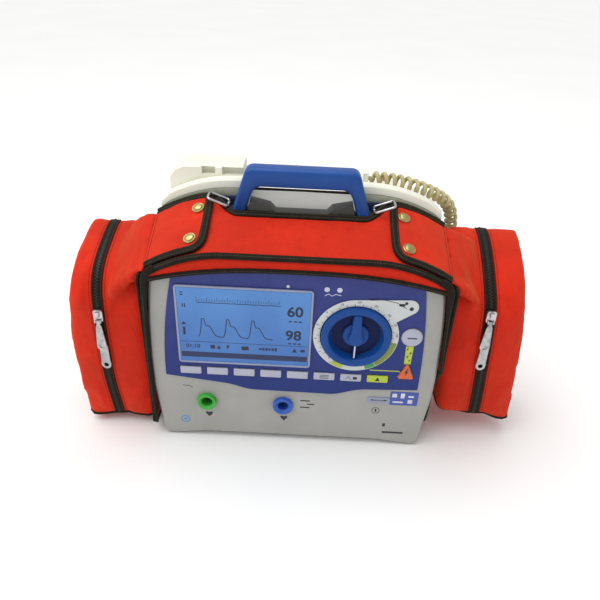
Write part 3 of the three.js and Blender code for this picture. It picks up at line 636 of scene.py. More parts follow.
RED = woven("red_nylon", rgb(216, 42, 20))
SEAM_RED = woven("seam_thread_red", rgb(120, 14, 12), pitch=0.4)
BINDING = webbing("black_binding", rgb(26, 21, 14))
ZIP_TAPE = webbing("zip_tape", rgb(26, 22, 15), rib=0.8)
THREAD = webbing("dark_thread", rgb(74, 68, 50), rib=0.5)
TEETH = moulded("zip_coil", rgb(30, 28, 24), rough=0.35, wear=0.1)
HOUSING = moulded("housing_grey", rgb(168, 167, 162), rough=0.5, grain=0.5, soil=0.9)
NAVY = moulded("navy_tray", rgb(32, 44, 84), rough=0.45)
DARK = moulded("dark_plastic", rgb(60, 60, 55), rough=0.5)
HANDLE_BLUE = moulded("handle_blue", rgb(26, 78, 156), rough=0.36, wear=0.35, gloss=0.3)
KNOB_BLUE = moulded("knob_blue", rgb(14, 72, 148), rough=0.36, wear=0.2, gloss=0.25)
KNOB_DEEP = moulded("knob_dish", rgb(10, 26, 78), rough=0.42, wear=0.12, gloss=0.15)
SOCKET_BLUE = moulded("socket_blue", rgb(44, 92, 190), rough=0.36)
SOCKET_GREEN = moulded("socket_green", rgb(60, 176, 60), rough=0.36)
SOCKET_SHADOW = moulded("socket_inside", rgb(22, 34, 60), rough=0.5)
CREAM = moulded("paddle_white", rgb(243, 242, 226), rough=0.4, soil=0.93)
RIM = moulded("paddle_rim", rgb(178, 182, 158), rough=0.45)
PALE = moulded("pale_key", rgb(178, 180, 198), rough=0.36, soil=0.93)
SCALE = moulded("dial_scale", rgb(206, 209, 210), rough=0.4, soil=0.94)
LIME = moulded("lime_key", rgb(186, 204, 60), rough=0.38)
ORANGE = moulded("shock_orange", rgb(222, 100, 44), rough=0.36)
MEMBRANE = film("panel_film", rgb(58, 66, 132), rgb(30, 50, 120), *[p.z for p in node_box("front_membrane")])
SCREEN = lit_screen("lit_display", rgb(72, 130, 196), rgb(52, 104, 176),
                    *[p.z for p in node_box("display_glass")])
# Black ink for the printed marks; the same black is also the painted shade inside the card slot.
INK = printed("black_ink_and_painted_shade", rgb(30, 34, 46))
SCREEN_INK = printed("display_segments", rgb(18, 34, 66))
WHITE_INK = printed("white_ink", rgb(214, 216, 232))
OLIVE_INK = printed("olive_ink", rgb(128, 146, 56))
LIME_INK = printed("lime_ink", rgb(186, 200, 66))
GREEN_INK = printed("green_ink", rgb(64, 160, 84))
BLUE_INK = printed("blue_ink", rgb(66, 86, 168))
SKY_INK = printed("light_blue_ink", rgb(64, 140, 204))
FRAME_GREY = moulded("display_surround", rgb(150, 158, 186), rough=0.4)
STRIP_INK = printed("display_dark_strip", rgb(24, 42, 90))
CAN = metal("capacitor_can", rgb(110, 120, 140), rough=0.4)
CHROME = metal("bright_chrome", rgb(206, 202, 204), rough=0.2)
STEEL = metal("brushed_steel", rgb(190, 190, 190), rough=0.3)
BRASS = metal("pale_brass", rgb(196, 178, 120), rough=0.28, stretch=(1.0, 1.0, 1.0))
RUBBER = rubber("black_rubber_finish", rgb(30, 30, 30))
CORD = jacket("cord_beige", rgb(194, 182, 132))
BOARD = board_mask("solder_mask")

# ---- the right paddle's curly cord ----

CORD_ROUTE = [
    (77, 114, 320.2),
    (98, 114, 319.8),
    (119, 115, 316.6),
    (139, 117, 310.6),
    (157, 121, 303),
    (172, 126, 293.5),
    (183, 131, 281),
    (189, 135, 264),
    (191, 138, 247),
    (191, 138, 230),
    (189, 137, 215),
]
WIRE = 5.0
COIL_RADIUS = 6.0
COIL_PITCH = 9.6
COIL_END = 9.0
STEPS_A_TURN = 18
CORD_TAIL = 7.0


def carried_normals(path, first=Vector((0, 0, 1))):
    """Normals that turn no more than the path does."""
    normals, up = [], first
    for tangent in tangents(path):
        up = (up - tangent * up.dot(tangent)).normalized()
        normals.append(up)
    return normals


def cord_line():
    """The helix from the paddle's boss, and the straight tail into the gland."""
    gland = node_middle("right_cord_gland")
    face = node_box("right_cord_gland")[1].x
    axis = even_path(smooth_path([place(*p) for p in CORD_ROUTE], 0.5 * MM), COIL_PITCH * MM / STEPS_A_TURN)
    axis = axis[:-round(CORD_TAIL * STEPS_A_TURN / COIL_PITCH)]
    normals = carried_normals(axis)
    steps = len(axis) - 1
    line = []
    for i, (point, tangent, up) in enumerate(zip(axis, tangents(axis), normals)):
        near_end = min(i, steps - i) * COIL_PITCH / STEPS_A_TURN
        radius = COIL_RADIUS * smoothstep(0, COIL_END, near_end) * MM
        angle = 2 * math.pi * i / STEPS_A_TURN
        line.append(point + (up * math.cos(angle) + tangent.cross(up) * math.sin(angle)) * radius)
    tail = [line[-1], place(188.6, gland.y + 0.8, gland.z + 1.2), place(185.0, gland.y, gland.z),
            place(face, gland.y, gland.z)]
    return line + smooth_path(tail, 1.2 * MM)[1:]


def make_cord():
    line = cord_line()
    form = Form().sweep(line, carried_normals(line), oval(WIRE, WIRE, 10, 2.0))
    piece = make_piece("curly_cord", form.mesh("curly_cord"), CORD, None, "paddle_cord")
    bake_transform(piece)


def make_gland(word, side):
    middle = node_middle(f"{word}_cord_gland")
    bore = 2.8 if side > 0 else 0
    profile = [(0, -3.7), (8, -3.7), (8, -2.2), (7.2, -1.9), (7.2, -1.2), (7.6, -0.9), (7.4, 0.3), (6.6, 0.6),
               (6.6, 1.2), (7.0, 1.5), (6.8, 2.7), (6.2, 3.0), (5.8, 3.7), (bore or 3.2, 3.7),
               (bore or 2.6, 2.6), (0, 2.6)]
    form = Form().turn(place(*middle), profile, 40, Vector((side, 0, 0)))
    make_piece(f"{word}_gland_boot", form.mesh("gland"), RUBBER, "root", f"{word}_cord_gland",
               bevel=0.25, segments=2)


make_cord()
make_gland("left", -1)
make_gland("right", 1)

# ---- pouches ----

POUCHES = {
    "left": {"side": -1, "foot": -5.5, "rear_power": 2.4},
    "right": {"side": 1, "foot": 10.5, "rear_power": 1.5},
}
POUCH_INNER = 179
SEAM_X = 168.9
SHOULDER_OUT = 214
SHRINK = 1.5
VOXEL = 4.2
SWELL_LIMIT = 3.6
CLOTH_FRAMES = 20
TAPE_WIDTH = {"left": 13.5, "right": 15.0}


def tree_of(mesh):
    return BVHTree.FromPolygons([v.co for v in mesh.vertices], [tuple(p.vertices) for p in mesh.polygons])


def hit(tree, start, direction):
    """Where a ray meets a surface, and the surface's outward normal there."""
    point, normal, _, _ = tree.ray_cast(start, direction)
    if point is None:
        return None, None
    return point, (normal if normal.dot(direction) < 0 else -normal)


def pouch_start(word, side):
    """The pouch's block a little under size, with the shoulder that rises to the flap's seam."""
    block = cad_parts[f"{word}_pouch"].data
    low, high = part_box(f"{word}_pouch")
    middle, size = (low + high) / 2, high - low
    scale = Vector(1 - 2 * SHRINK * MM / s for s in size)
    tree = tree_of(block)
    form = Form()
    points = [middle + Vector(a * b for a, b in zip(v.co - middle, scale)) for v in block.vertices]
    form.add(points, [tuple(p.vertices) for p in block.polygons])
    front = node_box(f"{word}_pouch")[0].y
    rings = []
    for x in (SEAM_X, 171.5, 174.2, 177, 181, 187, 194, 202, SHOULDER_OUT):
        share = (x - SEAM_X) / (SHOULDER_OUT - SEAM_X)
        start = lerp(4, front + SHRINK, smoothstep(0, 1, share))
        ring, under = [], []
        for depth in spread(start, 88, 10):
            probe = place(side * (SHOULDER_OUT + 2), max(depth, front + 4), 330)
            pouch_z = hit(tree, probe, Vector((0, 0, -1)))[0].z / MM - SHRINK
            power = lerp(1.1, POUCHES[word]["rear_power"], smoothstep(10, 80, depth))
            z = lerp(bag_top(SEAM_X, depth) + 2.6, pouch_z, share**power)
            ring.append(place(side * x, depth, z))
            if x < 173:
                underside = z - 5
            elif x < 180:
                underside = max(238.6, z - 8)
            else:
                underside = z - 12
            under.append(place(side * x, depth, underside))
        rings.append(ring + under[::-1])
    count = len(rings[0])
    faces = []
    for r in range(len(rings) - 1):
        for i in range(count):
            j = (i + 1) % count
            faces.append((r * count + i, r * count + j, (r + 1) * count + j, (r + 1) * count + i))
    faces += [tuple(range(count)), tuple(range((len(rings) - 1) * count, len(rings) * count))]
    form.add([p for ring in rings for p in ring], faces)
    return form.mesh(f"{word}_pouch_start")


def near_seam(tree, point, reach=4.5):
    """Whether two faces of a crisp edge both lie close to a point."""
    normals = [normal for _, normal, _, _ in tree.find_nearest_range(point, reach * MM)]
    return any(a.dot(b) < 0.45 for a in normals for b in normals)


def inflate(piece, pinned):
    """Fills a closed cloth with air for a few frames, and keeps each point near where it began."""
    rest = [v.co.copy() for v in piece.data.vertices]
    group = piece.vertex_groups.new(name="held")
    group.add([i for i, p in enumerate(rest) if pinned(p)], 1.0, "REPLACE")
    cloth = piece.modifiers.new("cloth", "CLOTH")
    settings = cloth.settings
    settings.quality = 5
    settings.mass = 0.25
    settings.tension_stiffness = 12
    settings.compression_stiffness = 12
    settings.shear_stiffness = 5
    settings.bending_stiffness = 0.6
    settings.use_pressure = True
    settings.uniform_pressure_force = 4.0
    settings.vertex_group_mass = group.name
    settings.effector_weights.gravity = 0.0
    cloth.point_cache.frame_start = 1
    cloth.point_cache.frame_end = CLOTH_FRAMES
    for step in range(1, CLOTH_FRAMES + 1):
        scene.frame_set(step)
    settle(piece)
    scene.frame_set(1)
    piece.vertex_groups.clear()
    for vertex, start in zip(piece.data.vertices, rest):
        move = vertex.co - start
        if move.length > SWELL_LIMIT * MM:
            vertex.co = start + move.normalized() * SWELL_LIMIT * MM


def fold(point, start, end, width, height):
    """The height of a soft fold that runs between two (x, z) places on a front face."""
    here = Vector((across(point), point.z / MM))
    a, b = Vector(start), Vector(end)
    run = b - a
    t = (here - a).dot(run) / run.length_squared
    off = (here - a - run * min(1, max(0, t))).length
    fade = smoothstep(-0.15, 0.2, t) * (1 - smoothstep(0.7, 1.1, t))
    return height * fade * math.exp(-(off / width) ** 2)


FOLDS = {
    "left": [((-172, 247), (-226, 192), 7, 4.5), ((-176, 226), (-222, 174), 8, -3.0),
             ((-236, 214), (-262, 180), 8, 2.4), ((-246, 234), (-268, 216), 7, -2.0),
             ((-186, 70), (-216, 22), 8, 1.8), ((-252, 66), (-240, 18), 9, 1.8)],
    "right": [((176, 254), (214, 186), 7, 4.5), ((214, 182), (224, 214), 5, 3.0),
              ((198, 244), (219, 206), 6, -3.4), ((236, 236), (266, 190), 8, 2.6),
              ((234, 216), (254, 196), 6, -3.0), ((190, 90), (212, 44), 8, 1.8),
              ((270, 90), (256, 36), 9, 1.8)],
}


def zip_x(word, z):
    """The zip's line down a pouch's front, straight where the slider runs."""
    middle = node_middle(f"{word}_zip_slider")
    foot = POUCHES[word]["foot"]
    if word == "left":
        return middle.x - foot * (1 - smoothstep(10, 95, z))
    return middle.x + foot * max(0, 1 - (z - 40) / (middle.z - 40)) - 4.5 * smoothstep(middle.z, 232, z)


def dress_pouch(word, side, piece):
    """Folds the swollen pouch, and keeps it clear of its neighbours."""
    low, high = node_box(f"{word}_pouch")
    mesh = piece.data
    normals = [v.normal.copy() for v in mesh.vertices]
    for vertex, normal in zip(mesh.vertices, normals):
        p = vertex.co
        z = p.z / MM
        x = across(p)
        soft = smoothstep(8, 20, abs(x - zip_x(word, z)))
        rise = sum(fold(p, *f) for f in FOLDS[word]) * max(0, -normal.y + 0.6 * normal.z)
        rise += 1.2 * noise.noise(p * 22 + Vector((side * 3, 0, 0))) + 0.5 * noise.noise(p * 75)
        p += normal * rise * soft * smoothstep(POUCH_INNER - 2, POUCH_INNER + 8, abs(x)) * MM
        inner = POUCH_INNER - 0.6 if z < 237.5 else SEAM_X - 0.2
        p.x = MIDDLE_X + side * max(inner, abs(across(p))) * MM
        p.y = FACE_Y + min((p.y - FACE_Y) / MM, high.y + 3) * MM
        p.z = max(p.z, low.z * MM)


def make_pouch(word):
    side = POUCHES[word]["side"]
    start = pouch_start(word, side)
    tree = tree_of(start)
    piece = bpy.data.objects.new(f"{word}_pouch_shell", start.copy())
    scene.collection.objects.link(piece)
    remesh = piece.modifiers.new("even", "REMESH")
    remesh.mode = "VOXEL"
    remesh.voxel_size = VOXEL * MM
    settle(piece)
    for vertex in piece.data.vertices:
        vertex.co = tree.find_nearest(vertex.co)[0]
    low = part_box(f"{word}_pouch")[0].z
    inner = POUCH_INNER + 2
    inflate(piece, lambda p: abs(across(p)) < inner or p.z < low + 5 * MM or near_seam(tree, p))
    relax = piece.modifiers.new("relax", "CORRECTIVE_SMOOTH")
    relax.iterations = 2
    relax.use_only_smooth = True
    relax.smooth_type = "SIMPLE"
    piece.modifiers.new("surface", "SUBSURF").levels = 1
    settle(piece)
    dress_pouch(word, side, piece)
    mesh = piece.data
    mesh.materials.clear()
    mesh.materials.append(RED)
    mesh.shade_smooth()
    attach(piece, "root")
    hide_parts(f"{word}_pouch")
    return piece


def zip_path(word, tree):
    """Points and normals up the pouch's front along its zip, over the shoulder and back over the top."""
    low, high = node_box(f"{word}_pouch")
    foot = low.z + (15 if word == "left" else 16)
    turn_z = 182 if word == "left" else 190
    rays = []
    for z in spread(foot, turn_z - 4, 40):
        rays.append((place(zip_x(word, z), low.y - 40, z), Vector((0, 1, 0))))
    centre_depth = low.y + 46
    for degrees in spread(2, 88, 26):
        angle = math.radians(degrees)
        out = Vector((0, -math.cos(angle), math.sin(angle)))
        start = place(zip_x(word, turn_z + 46 * math.sin(angle)), centre_depth, turn_z) + out * 0.14
        rays.append((start, -out))
    for depth in spread(centre_depth + 3, high.y - 7, 20):
        rays.append((place(zip_x(word, 245), depth, 330), Vector((0, 0, -1))))
    hits = [hit(tree, start, way) for start, way in rays]
    points = [p for p, _ in hits if p is not None]
    normals = [n for p, n in hits if p is not None]
    for _ in range(8):
        points[1:-1] = [(a + b * 2 + c) / 4 for a, b, c in zip(points, points[1:], points[2:])]
        normals[1:-1] = [(a + b + c).normalized() for a, b, c in zip(normals, normals[1:], normals[2:])]
    return points, normals


def press(mesh, path, normals, half_width, depth):
    """Settles the cloth just under a tape that runs along a path."""
    places = KDTree(len(path))
    for i, point in enumerate(path):
        places.insert(point, i)
    places.balance()
    for vertex in mesh.vertices:
        _, i, away = places.find(vertex.co)
        if away > (half_width + 16) * MM or vertex.normal.dot(normals[i]) < 0.2:
            continue
        off = (vertex.co - path[i]).dot(normals[i])
        hold = 1 - smoothstep(half_width + 1, half_width + 13, away / MM)
        vertex.co -= normals[i] * (off + depth * MM) * hold


def resample(points, normals, step):
    """Evenly spaced points with their normals."""
    path = even_path(points, step)
    nearest = []
    start = 0
    for p in path:
        start = min(range(max(0, start - 2), len(points)), key=lambda i: (points[i] - p).length)
        nearest.append(normals[start])
    for _ in range(3):
        nearest[1:-1] = [(a + b + c).normalized() for a, b, c in zip(nearest, nearest[1:], nearest[2:])]
    return path, nearest


def beside(path, normals, offset, lift=0.0, tree=None):
    """The path moved sideways by an offset, laid back on a surface if a tree is given."""
    moved = []
    for point, tangent, normal in zip(path, tangents(path), normals):
        p = point + tangent.cross(normal).normalized() * offset * MM
        if tree:
            on, _ = hit(tree, p + normal * 9 * MM, -normal)
            p = on if on is not None and (on - p).length < 6 * MM else p
        moved.append(p + normal * lift * MM)
    return moved


STITCH_PITCH = 3.3
STITCH = [(0.42 * math.cos(a), 0.34 * math.sin(a)) for a in [math.pi * i / 3 for i in range(6)]]


def stitch(form, path, normals):
    """A row of sunk stitches along a path."""
    total = sum((b - a).length for a, b in zip(path, path[1:])) / MM
    count = max(1, int(total / STITCH_PITCH))
    fine, ups = resample(path, normals, total * MM / (count * 4))
    for i in range(0, len(fine) - 4, 4):
        form.sweep(fine[i:i + 4], ups[i:i + 4], STITCH, scale=[0.5, 1, 1, 0.5])
    return form


def make_zip(word, pouch):
    width = TAPE_WIDTH[word]
    path, normals = resample(*zip_path(word, tree_of(pouch.data)), 3.0 * MM)
    press(pouch.data, path, normals, width / 2, 0.7)
    tree = tree_of(pouch.data)
    form = Form().sweep(path, normals, oval(width, 1.3, 12, 4.0))
    make_piece(f"{word}_zip_tape", form.mesh("tape"), ZIP_TAPE, "root")
    teeth = Form()
    fine, ups = resample(path, normals, 1.9 * MM)
    tooth = [(-1.35, 0), (-0.9, 0.7), (0.9, 0.7), (1.35, 0)]
    for i, (point, tangent, up) in enumerate(zip(fine, tangents(fine), ups)):
        aside = tangent.cross(up).normalized()
        centre = point + aside * (0.85 if i % 2 else -0.85) * MM + up * 0.6 * MM
        row = [centre + aside * a * MM + up * h * MM for a, h in tooth]
        points = [p + tangent * k * 0.62 * MM for k in (-1, 1) for p in row]
        teeth.add(points, [(0, 1, 2, 3), (7, 6, 5, 4), (0, 4, 5, 1), (1, 5, 6, 2), (2, 6, 7, 3),
                           (3, 7, 4, 0)])
    make_piece(f"{word}_zip_coil", teeth.mesh("coil"), TEETH, "root")
    seams = Form()
    for side in (-1, 1):
        stitch(seams, beside(path, normals, side * (width / 2 + 2.6), 0.1, tree), normals)
        stitch(seams, beside(path, normals, side * (width / 2 - 1.4), 0.75), normals)
    make_piece(f"{word}_zip_stitches", seams.mesh("stitches"), SEAM_RED, "root")


def edge_line(word, tree):
    """Points along the pouch's crisp front and top outer edge, from its foot to its rear corner."""
    side = POUCHES[word]["side"]
    low = node_box(f"{word}_pouch")[0]
    middle = place(side * 232, low.y + 62, 150)
    points, normals = [], []
    for angle in spread(-112, 62, 60):
        turn = math.radians(angle)
        way = Vector((0, -math.cos(turn), math.sin(turn)))
        out = (way + Vector((side * 0.72, 0, 0))).normalized()
        point, normal = hit(tree, middle + out * 0.35, -out)
        if point is not None:
            points.append(point)
            normals.append((normal + out).normalized())
    for _ in range(4):
        points[1:-1] = [(a + b * 2 + c) / 4 for a, b, c in zip(points, points[1:], points[2:])]
    return points, normals


def make_piping(word, pouch):
    """Black piping round the pouch's foot and up its rear edge."""
    side = POUCHES[word]["side"]
    tree = tree_of(pouch.data)
    low, high = node_box(f"{word}_pouch")
    middle = place((low.x + high.x) / 2, (low.y + high.y) / 2, low.z + 60)
    half_x, half_y = (high.x - low.x) / 2, (high.y - low.y) / 2
    points, normals = [], []
    for i in range(84):
        angle = 2 * math.pi * i / 84
        flat = Vector((math.cos(angle), math.sin(angle), 0))
        reach = 1 / max(abs(flat.x) / half_x, abs(flat.y) / half_y)
        out = (flat * reach + Vector((0, 0, -56))).normalized()
        point, normal = hit(tree, middle + out * 0.25, -out)
        if point is not None:
            points.append(point)
            normals.append((normal + out).normalized())
    form = Form().sweep(points, normals, oval(5.6, 4.2, 10, 2.0), closed=True)
    make_piece(f"{word}_pouch_piping", form.mesh("piping"), BINDING, "root")
    outer = side * 400
    inwards = Vector((-side, 0, 0))
    back = [hit(tree, place(outer, high.y - 6, z), inwards) for z in spread(low.z + 12, 240, 34)]
    back = [(p, n) for p, n in back if p is not None]
    form = Form().sweep([p for p, _ in back], [n for _, n in back], oval(3.0, 2.6, 10, 2.0))
    make_piece(f"{word}_pouch_rear_piping", form.mesh("piping"), BINDING, "root")
    line, ups = resample(*edge_line(word, tree), 3.0 * MM)
    form = Form().sweep(line, ups, oval(2.6, 2.2, 8, 2.0))
    make_piece(f"{word}_pouch_welt", form.mesh("welt"), RED, "root")


for name in POUCHES:
    shell = make_pouch(name)
    make_zip(name, shell)
    make_piping(name, shell)

# ---- the bag's fabric ----

BAND_LOW = 251
BINDING_WIDE = 9.5
BINDING_HIGH = 4.4
FLAP_INNER = 105
FLAP_OUTER = 168.2
FLAP_TOP = FLAP_LIFT + 3.0


def band_edge(x):
    """Height of the front band's lower edge, lower towards both sides."""
    return BAND_LOW - 17.5 * (abs(x) / 163) ** 2.6


def bind(name, path, normals, body="root", width=BINDING_WIDE, height=BINDING_HIGH, scale=None, closed=False,
         rows=(0,)):
    """Folded binding tape with sunk rows of stitching."""
    form = Form().sweep(path, normals, oval(width, height, 14, 3.0), closed=closed, scale=scale)
    make_piece(name, form.mesh(name), BINDING, body)
    seams = Form()
    for offset in rows:
        stitch(seams, beside(path, normals, offset, height / 2 - 0.12), normals)
    make_piece(f"{name}_stitches", seams.mesh("stitches"), THREAD, body)


def panel_rear(x):
    """Depth of the top panel's rear edge, which runs back to the flaps on both sides of the handle."""
    return PANEL_REAR + 25 * smoothstep(72, 106, abs(x))


def make_top_panel():
    columns = spread(-PANEL_HALF, PANEL_HALF, 111)
    rows, directions = [], {}
    fronts = spread(0, 1, 22)
    for i in range(22 + 3 + 10):
        row = []
        for x in columns:
            up = top_normal(x)
            edge = band_edge(x)
            crease = place(x, 3, bag_top(x, 3))
            if i < 22:
                depth = lerp(panel_rear(x), 3, fronts[i])
                point, inward = place(x, depth, bag_top(x, depth)), -up
            elif i < 25:
                angle = (i - 21) / 4
                inward = (-up).lerp(Vector((0, 1, 0)), angle).normalized()
                point = crease.lerp(place(x, -4.6, bag_top(x, 0) - 6), angle)
                point -= inward * 1.6 * math.sin(math.pi * angle) * MM
            else:
                share = (i - 25) / 9
                point = place(x, -4.6, lerp(bag_top(x, 0) - 6, edge, share))
                inward = Vector((0, 1, 0))
            pucker = 0.45 * noise.noise(Vector((x / 7, i / 3, 0)))
            pucker += 0.5 * noise.noise(Vector((x / 32, i / 9, 4)))
            point -= inward * pucker * MM * (0 if i == 0 else 1)
            directions[tuple(point)] = inward
            row.append(point)
        rows.append(row)
    form = Form().grid(rows, CLOTH, lambda p: directions[tuple(p)])
    piece = make_piece("top_panel_cloth", form.mesh("top_panel"), RED, "root", "bag_top_panel",
                       smooth=60)


def make_top_bindings():
    reach = spread(-164, 164, 83)
    upper = [place(x, -2.4, bag_top(x, 0) + 0.2) for x in reach]
    tilt = [(top_normal(x) + Vector((0, -0.55, 0))).normalized() for x in reach]
    bind("front_upper_binding", upper, tilt, width=7.2, height=4.8)
    lower = [place(x, -4.6, band_edge(x) + 2.7) for x in reach]
    forward = Vector((0, -1, -0.1)).normalized()
    bind("front_lower_binding", lower, [forward] * len(lower), width=5.8, height=3.8)
    corner = [place(x, panel_rear(x), bag_top(x, panel_rear(x)) + 0.8) for x in spread(-105, 105, 64)]
    rear = smooth_path(corner, 4 * MM)
    bind("rear_binding", rear, [top_normal(across(p)) for p in rear], width=8.5, height=3.8, rows=(-2, 2))


SIDE_EDGES = {
    "left": ([(-156, -3.2, 249), (-162, -3.8, 246), (-166.4, -4, 241), (-168.4, -4, 234), (-169.4, -3.8, 224),
              (-171.2, -3.4, 203), (-172.6, -3.2, 163), (-174, -3, 120), (-173.8, -3, 75), (-173.4, -2.6, 50),
              (-173.8, -1, 30), (-175.4, 3, 19), (-177, 10, 15.6), (-177.2, 24, 15)], 0.9),
    "right": ([(156, -3.2, 249), (162, -3.8, 246), (166.4, -4, 241), (168.2, -4, 234), (169.2, -3.8, 224),
               (170.8, -3.4, 205), (172, -3, 185), (173.2, -2.6, 160), (174.6, -2.2, 140), (175.8, -1.4, 127),
               (176.2, 8, 109), (176.2, 19.6, 91), (176.2, 23, 58), (176.2, 26.4, 26),
               (176.2, 33, 15.5)], 0.62),
}


def make_side_binding(word):
    corners, narrow = SIDE_EDGES[word]
    side = -1 if word == "left" else 1
    path = smooth_path([place(*p) for p in corners], 3 * MM)
    normals, scale = [], []
    for p in path:
        z = p.z / MM
        normals.append(Vector((side * 0.25, -1, 0.15 * smoothstep(236, 250, z))).normalized())
        scale.append(lerp(narrow, 1.25, smoothstep(190, 236, z)))
    bind(f"{word}_side_binding", path, normals, scale=scale, width=7.0, height=4.4)


def flap_edge(depth):
    """The flap's inner edge, cut away at the front corner."""
    return FLAP_INNER + 11 * (1 - smoothstep(7, 22, depth))


def flap_point(side, x, depth, lift=0.0):
    return place(side * x, depth, bag_top(x, depth)) + top_normal(side * x) * (FLAP_TOP + lift) * MM


def make_flap(word, side):
    body = f"{word}_flap"
    studs = [node_middle(f"{word}_{level}_stud") for level in ("upper", "lower")]
    rows = []
    for depth in spread(84, 7.5, 34):
        row = []
        for share in spread(0, 1, 30):
            x = lerp(flap_edge(depth), FLAP_OUTER, share)
            crown = 0.7 * math.sin(math.pi * share) * math.sin(math.pi * (84 - depth) / 76.5)
            near = min((Vector((x - abs(s.x), depth - s.y))).length for s in studs)
            dimple = -0.9 * math.exp(-(max(0, near - 7) / 5) ** 2)
            ripple = 0.7 * noise.noise(Vector((x / 15, depth / 15, side))) * smoothstep(0, 0.1, share)
            row.append(flap_point(side, x, depth, crown + dimple + ripple * (1 - smoothstep(0.9, 1, share))))
        rows.append(row)
    form = Form().grid(rows, CLOTH, lambda p: -top_normal(across(p)))
    piece = make_piece(f"{word}_flap_cloth", form.mesh("flap"), RED, body, f"{word}_flap",
                       smooth=60)
    edge = [(167, 84.2), (150, 84.4), (128, 84.4), (112, 84), (107, 81), (105.4, 74), (105, 55), (105, 36),
            (105.6, 22), (107.6, 14.6), (112, 9.8), (118, 8), (134, 7.6), (150, 7.4), (160, 7.2), (167, 7.0)]
    line = smooth_path([flap_point(side, x, d, -0.9) for x, d in edge], 3 * MM)
    normals = [(top_normal(across(p)) + Vector((0, -0.1, 0))).normalized() for p in line]
    bind(f"{word}_flap_binding", line, normals, body, height=4.6, rows=(2.6, -2.6))
    seam = [flap_point(side, FLAP_OUTER - 2.6, d, 0.12) for d in spread(10, 82, 30)]
    form = stitch(Form(), seam, [top_normal(side * FLAP_OUTER)] * len(seam))
    make_piece(f"{word}_flap_seam", form.mesh("seam"), SEAM_RED, body)


def make_stud(word, level):
    middle = node_middle(f"{word}_{level}_stud")
    up = top_normal(middle.x)
    base = place(*middle) - up * 0.75 * MM
    profile = [(0, -0.4), (6.9, -0.4), (7.3, 0.0), (7.3, 0.5), (6.9, 0.85), (6.1, 0.8), (5.7, 0.75),
               (5.5, 1.1), (5.2, 1.8), (4.4, 2.35), (3.0, 2.7), (1.4, 2.85), (0, 2.9)]
    form = Form().turn(base, profile, 40, up)
    make_piece(f"{word}_{level}_snap", form.mesh("snap"), BRASS, f"{word}_flap",
               f"{word}_{level}_stud")


def panel_sheet(node, name, wide_axis, tall_axis, columns, rows_count):
    """A flat cloth panel laid over a CAD panel's outline, a little uneven, bound all round."""
    low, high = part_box(node)
    tree = tree_of(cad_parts[node].data)
    thin = ({0, 1, 2} - {wide_axis, tall_axis}).pop()
    outward = Vector((0, 0, 0))
    outward[thin] = 1 if (low[thin] + high[thin]) > 0 else -1
    if node == "bag_base_panel":
        outward[thin] = -1
    face = high[thin] if outward[thin] > 0 else low[thin]
    grid = []
    for u in spread(low[wide_axis] + 0.25 * MM, high[wide_axis] - 0.25 * MM, columns):
        start = Vector((0, 0, 0))
        start[wide_axis] = u
        start[thin] = (low[thin] + high[thin]) / 2
        ends = []
        for sign in (-1, 1):
            start[tall_axis] = sign * 0.7 + (0.15 if tall_axis == 2 else 0)
            way = Vector((0, 0, 0))
            way[tall_axis] = -sign
            ends.append(hit(tree, start, way)[0][tall_axis])
        column = []
        for share in spread(0, 1, rows_count):
            point = Vector((0, 0, 0))
            point[wide_axis] = u
            point[tall_axis] = lerp(ends[0], ends[1], share)
            point[thin] = face
            calm = smoothstep(0, 0.12, share) * (1 - smoothstep(0.88, 1, share))
            wave = noise.noise(point * 14) + 0.5 * noise.noise(point * 45)
            point -= outward * (0.25 + 0.75 * abs(wave) * calm) * MM
            column.append(point)
        grid.append(column)
    form = Form().grid(grid, CLOTH - 0.4, lambda p: -outward)
    piece = make_piece(name, form.mesh(name), RED, "root", node, smooth=60)
    rim = [column[0] for column in grid] + grid[-1][1:]
    rim += [column[-1] for column in reversed(grid[:-1])] + grid[0][-2:0:-1]
    centre = (low + high) / 2
    inset = []
    for p in rim:
        move = centre - p
        move[thin] = 0
        inset.append(p + move.normalized() * 1.6 * MM - outward * 0.9 * MM)
    path = even_path(inset + inset[:1], 4 * MM)[:-1]
    bind(f"{name}_binding", path, [outward] * len(path), width=7.0, height=4.0, closed=True)


make_top_panel()
make_top_bindings()
for name, side in (("left", -1), ("right", 1)):
    make_side_binding(name)
    make_flap(name, side)
    make_stud(name, "upper")
    make_stud(name, "lower")
    panel_sheet(f"{name}_bag_side", f"{name}_side_cloth", 1, 2, 48, 40)
panel_sheet("bag_back_panel", "back_cloth", 0, 2, 80, 50)
panel_sheet("bag_base_panel", "base_cloth", 0, 1, 70, 22)

# ---- the device ----

MEMBRANE_FACE = node_box("front_membrane")[0].y
GLASS_FACE = node_box("display_glass")[0].y
RING_FACE = node_box("dial_ring")[0].y
# How far ink stands proud of its face, how far it reaches into it, and how far digits stand off it.
INK_HIGH = 0.1
KEY_INK_HIGH = 0.06
INK_SUNK = 0.06
DIGITS_PROUD = 0.06
DIAL = node_middle("rotary_knob")


def coat(node_name, material):
    """Gives a CAD node, kept just as it is, a finished material."""
    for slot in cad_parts[node_name].material_slots:
        slot.link = "OBJECT"
        slot.material = material


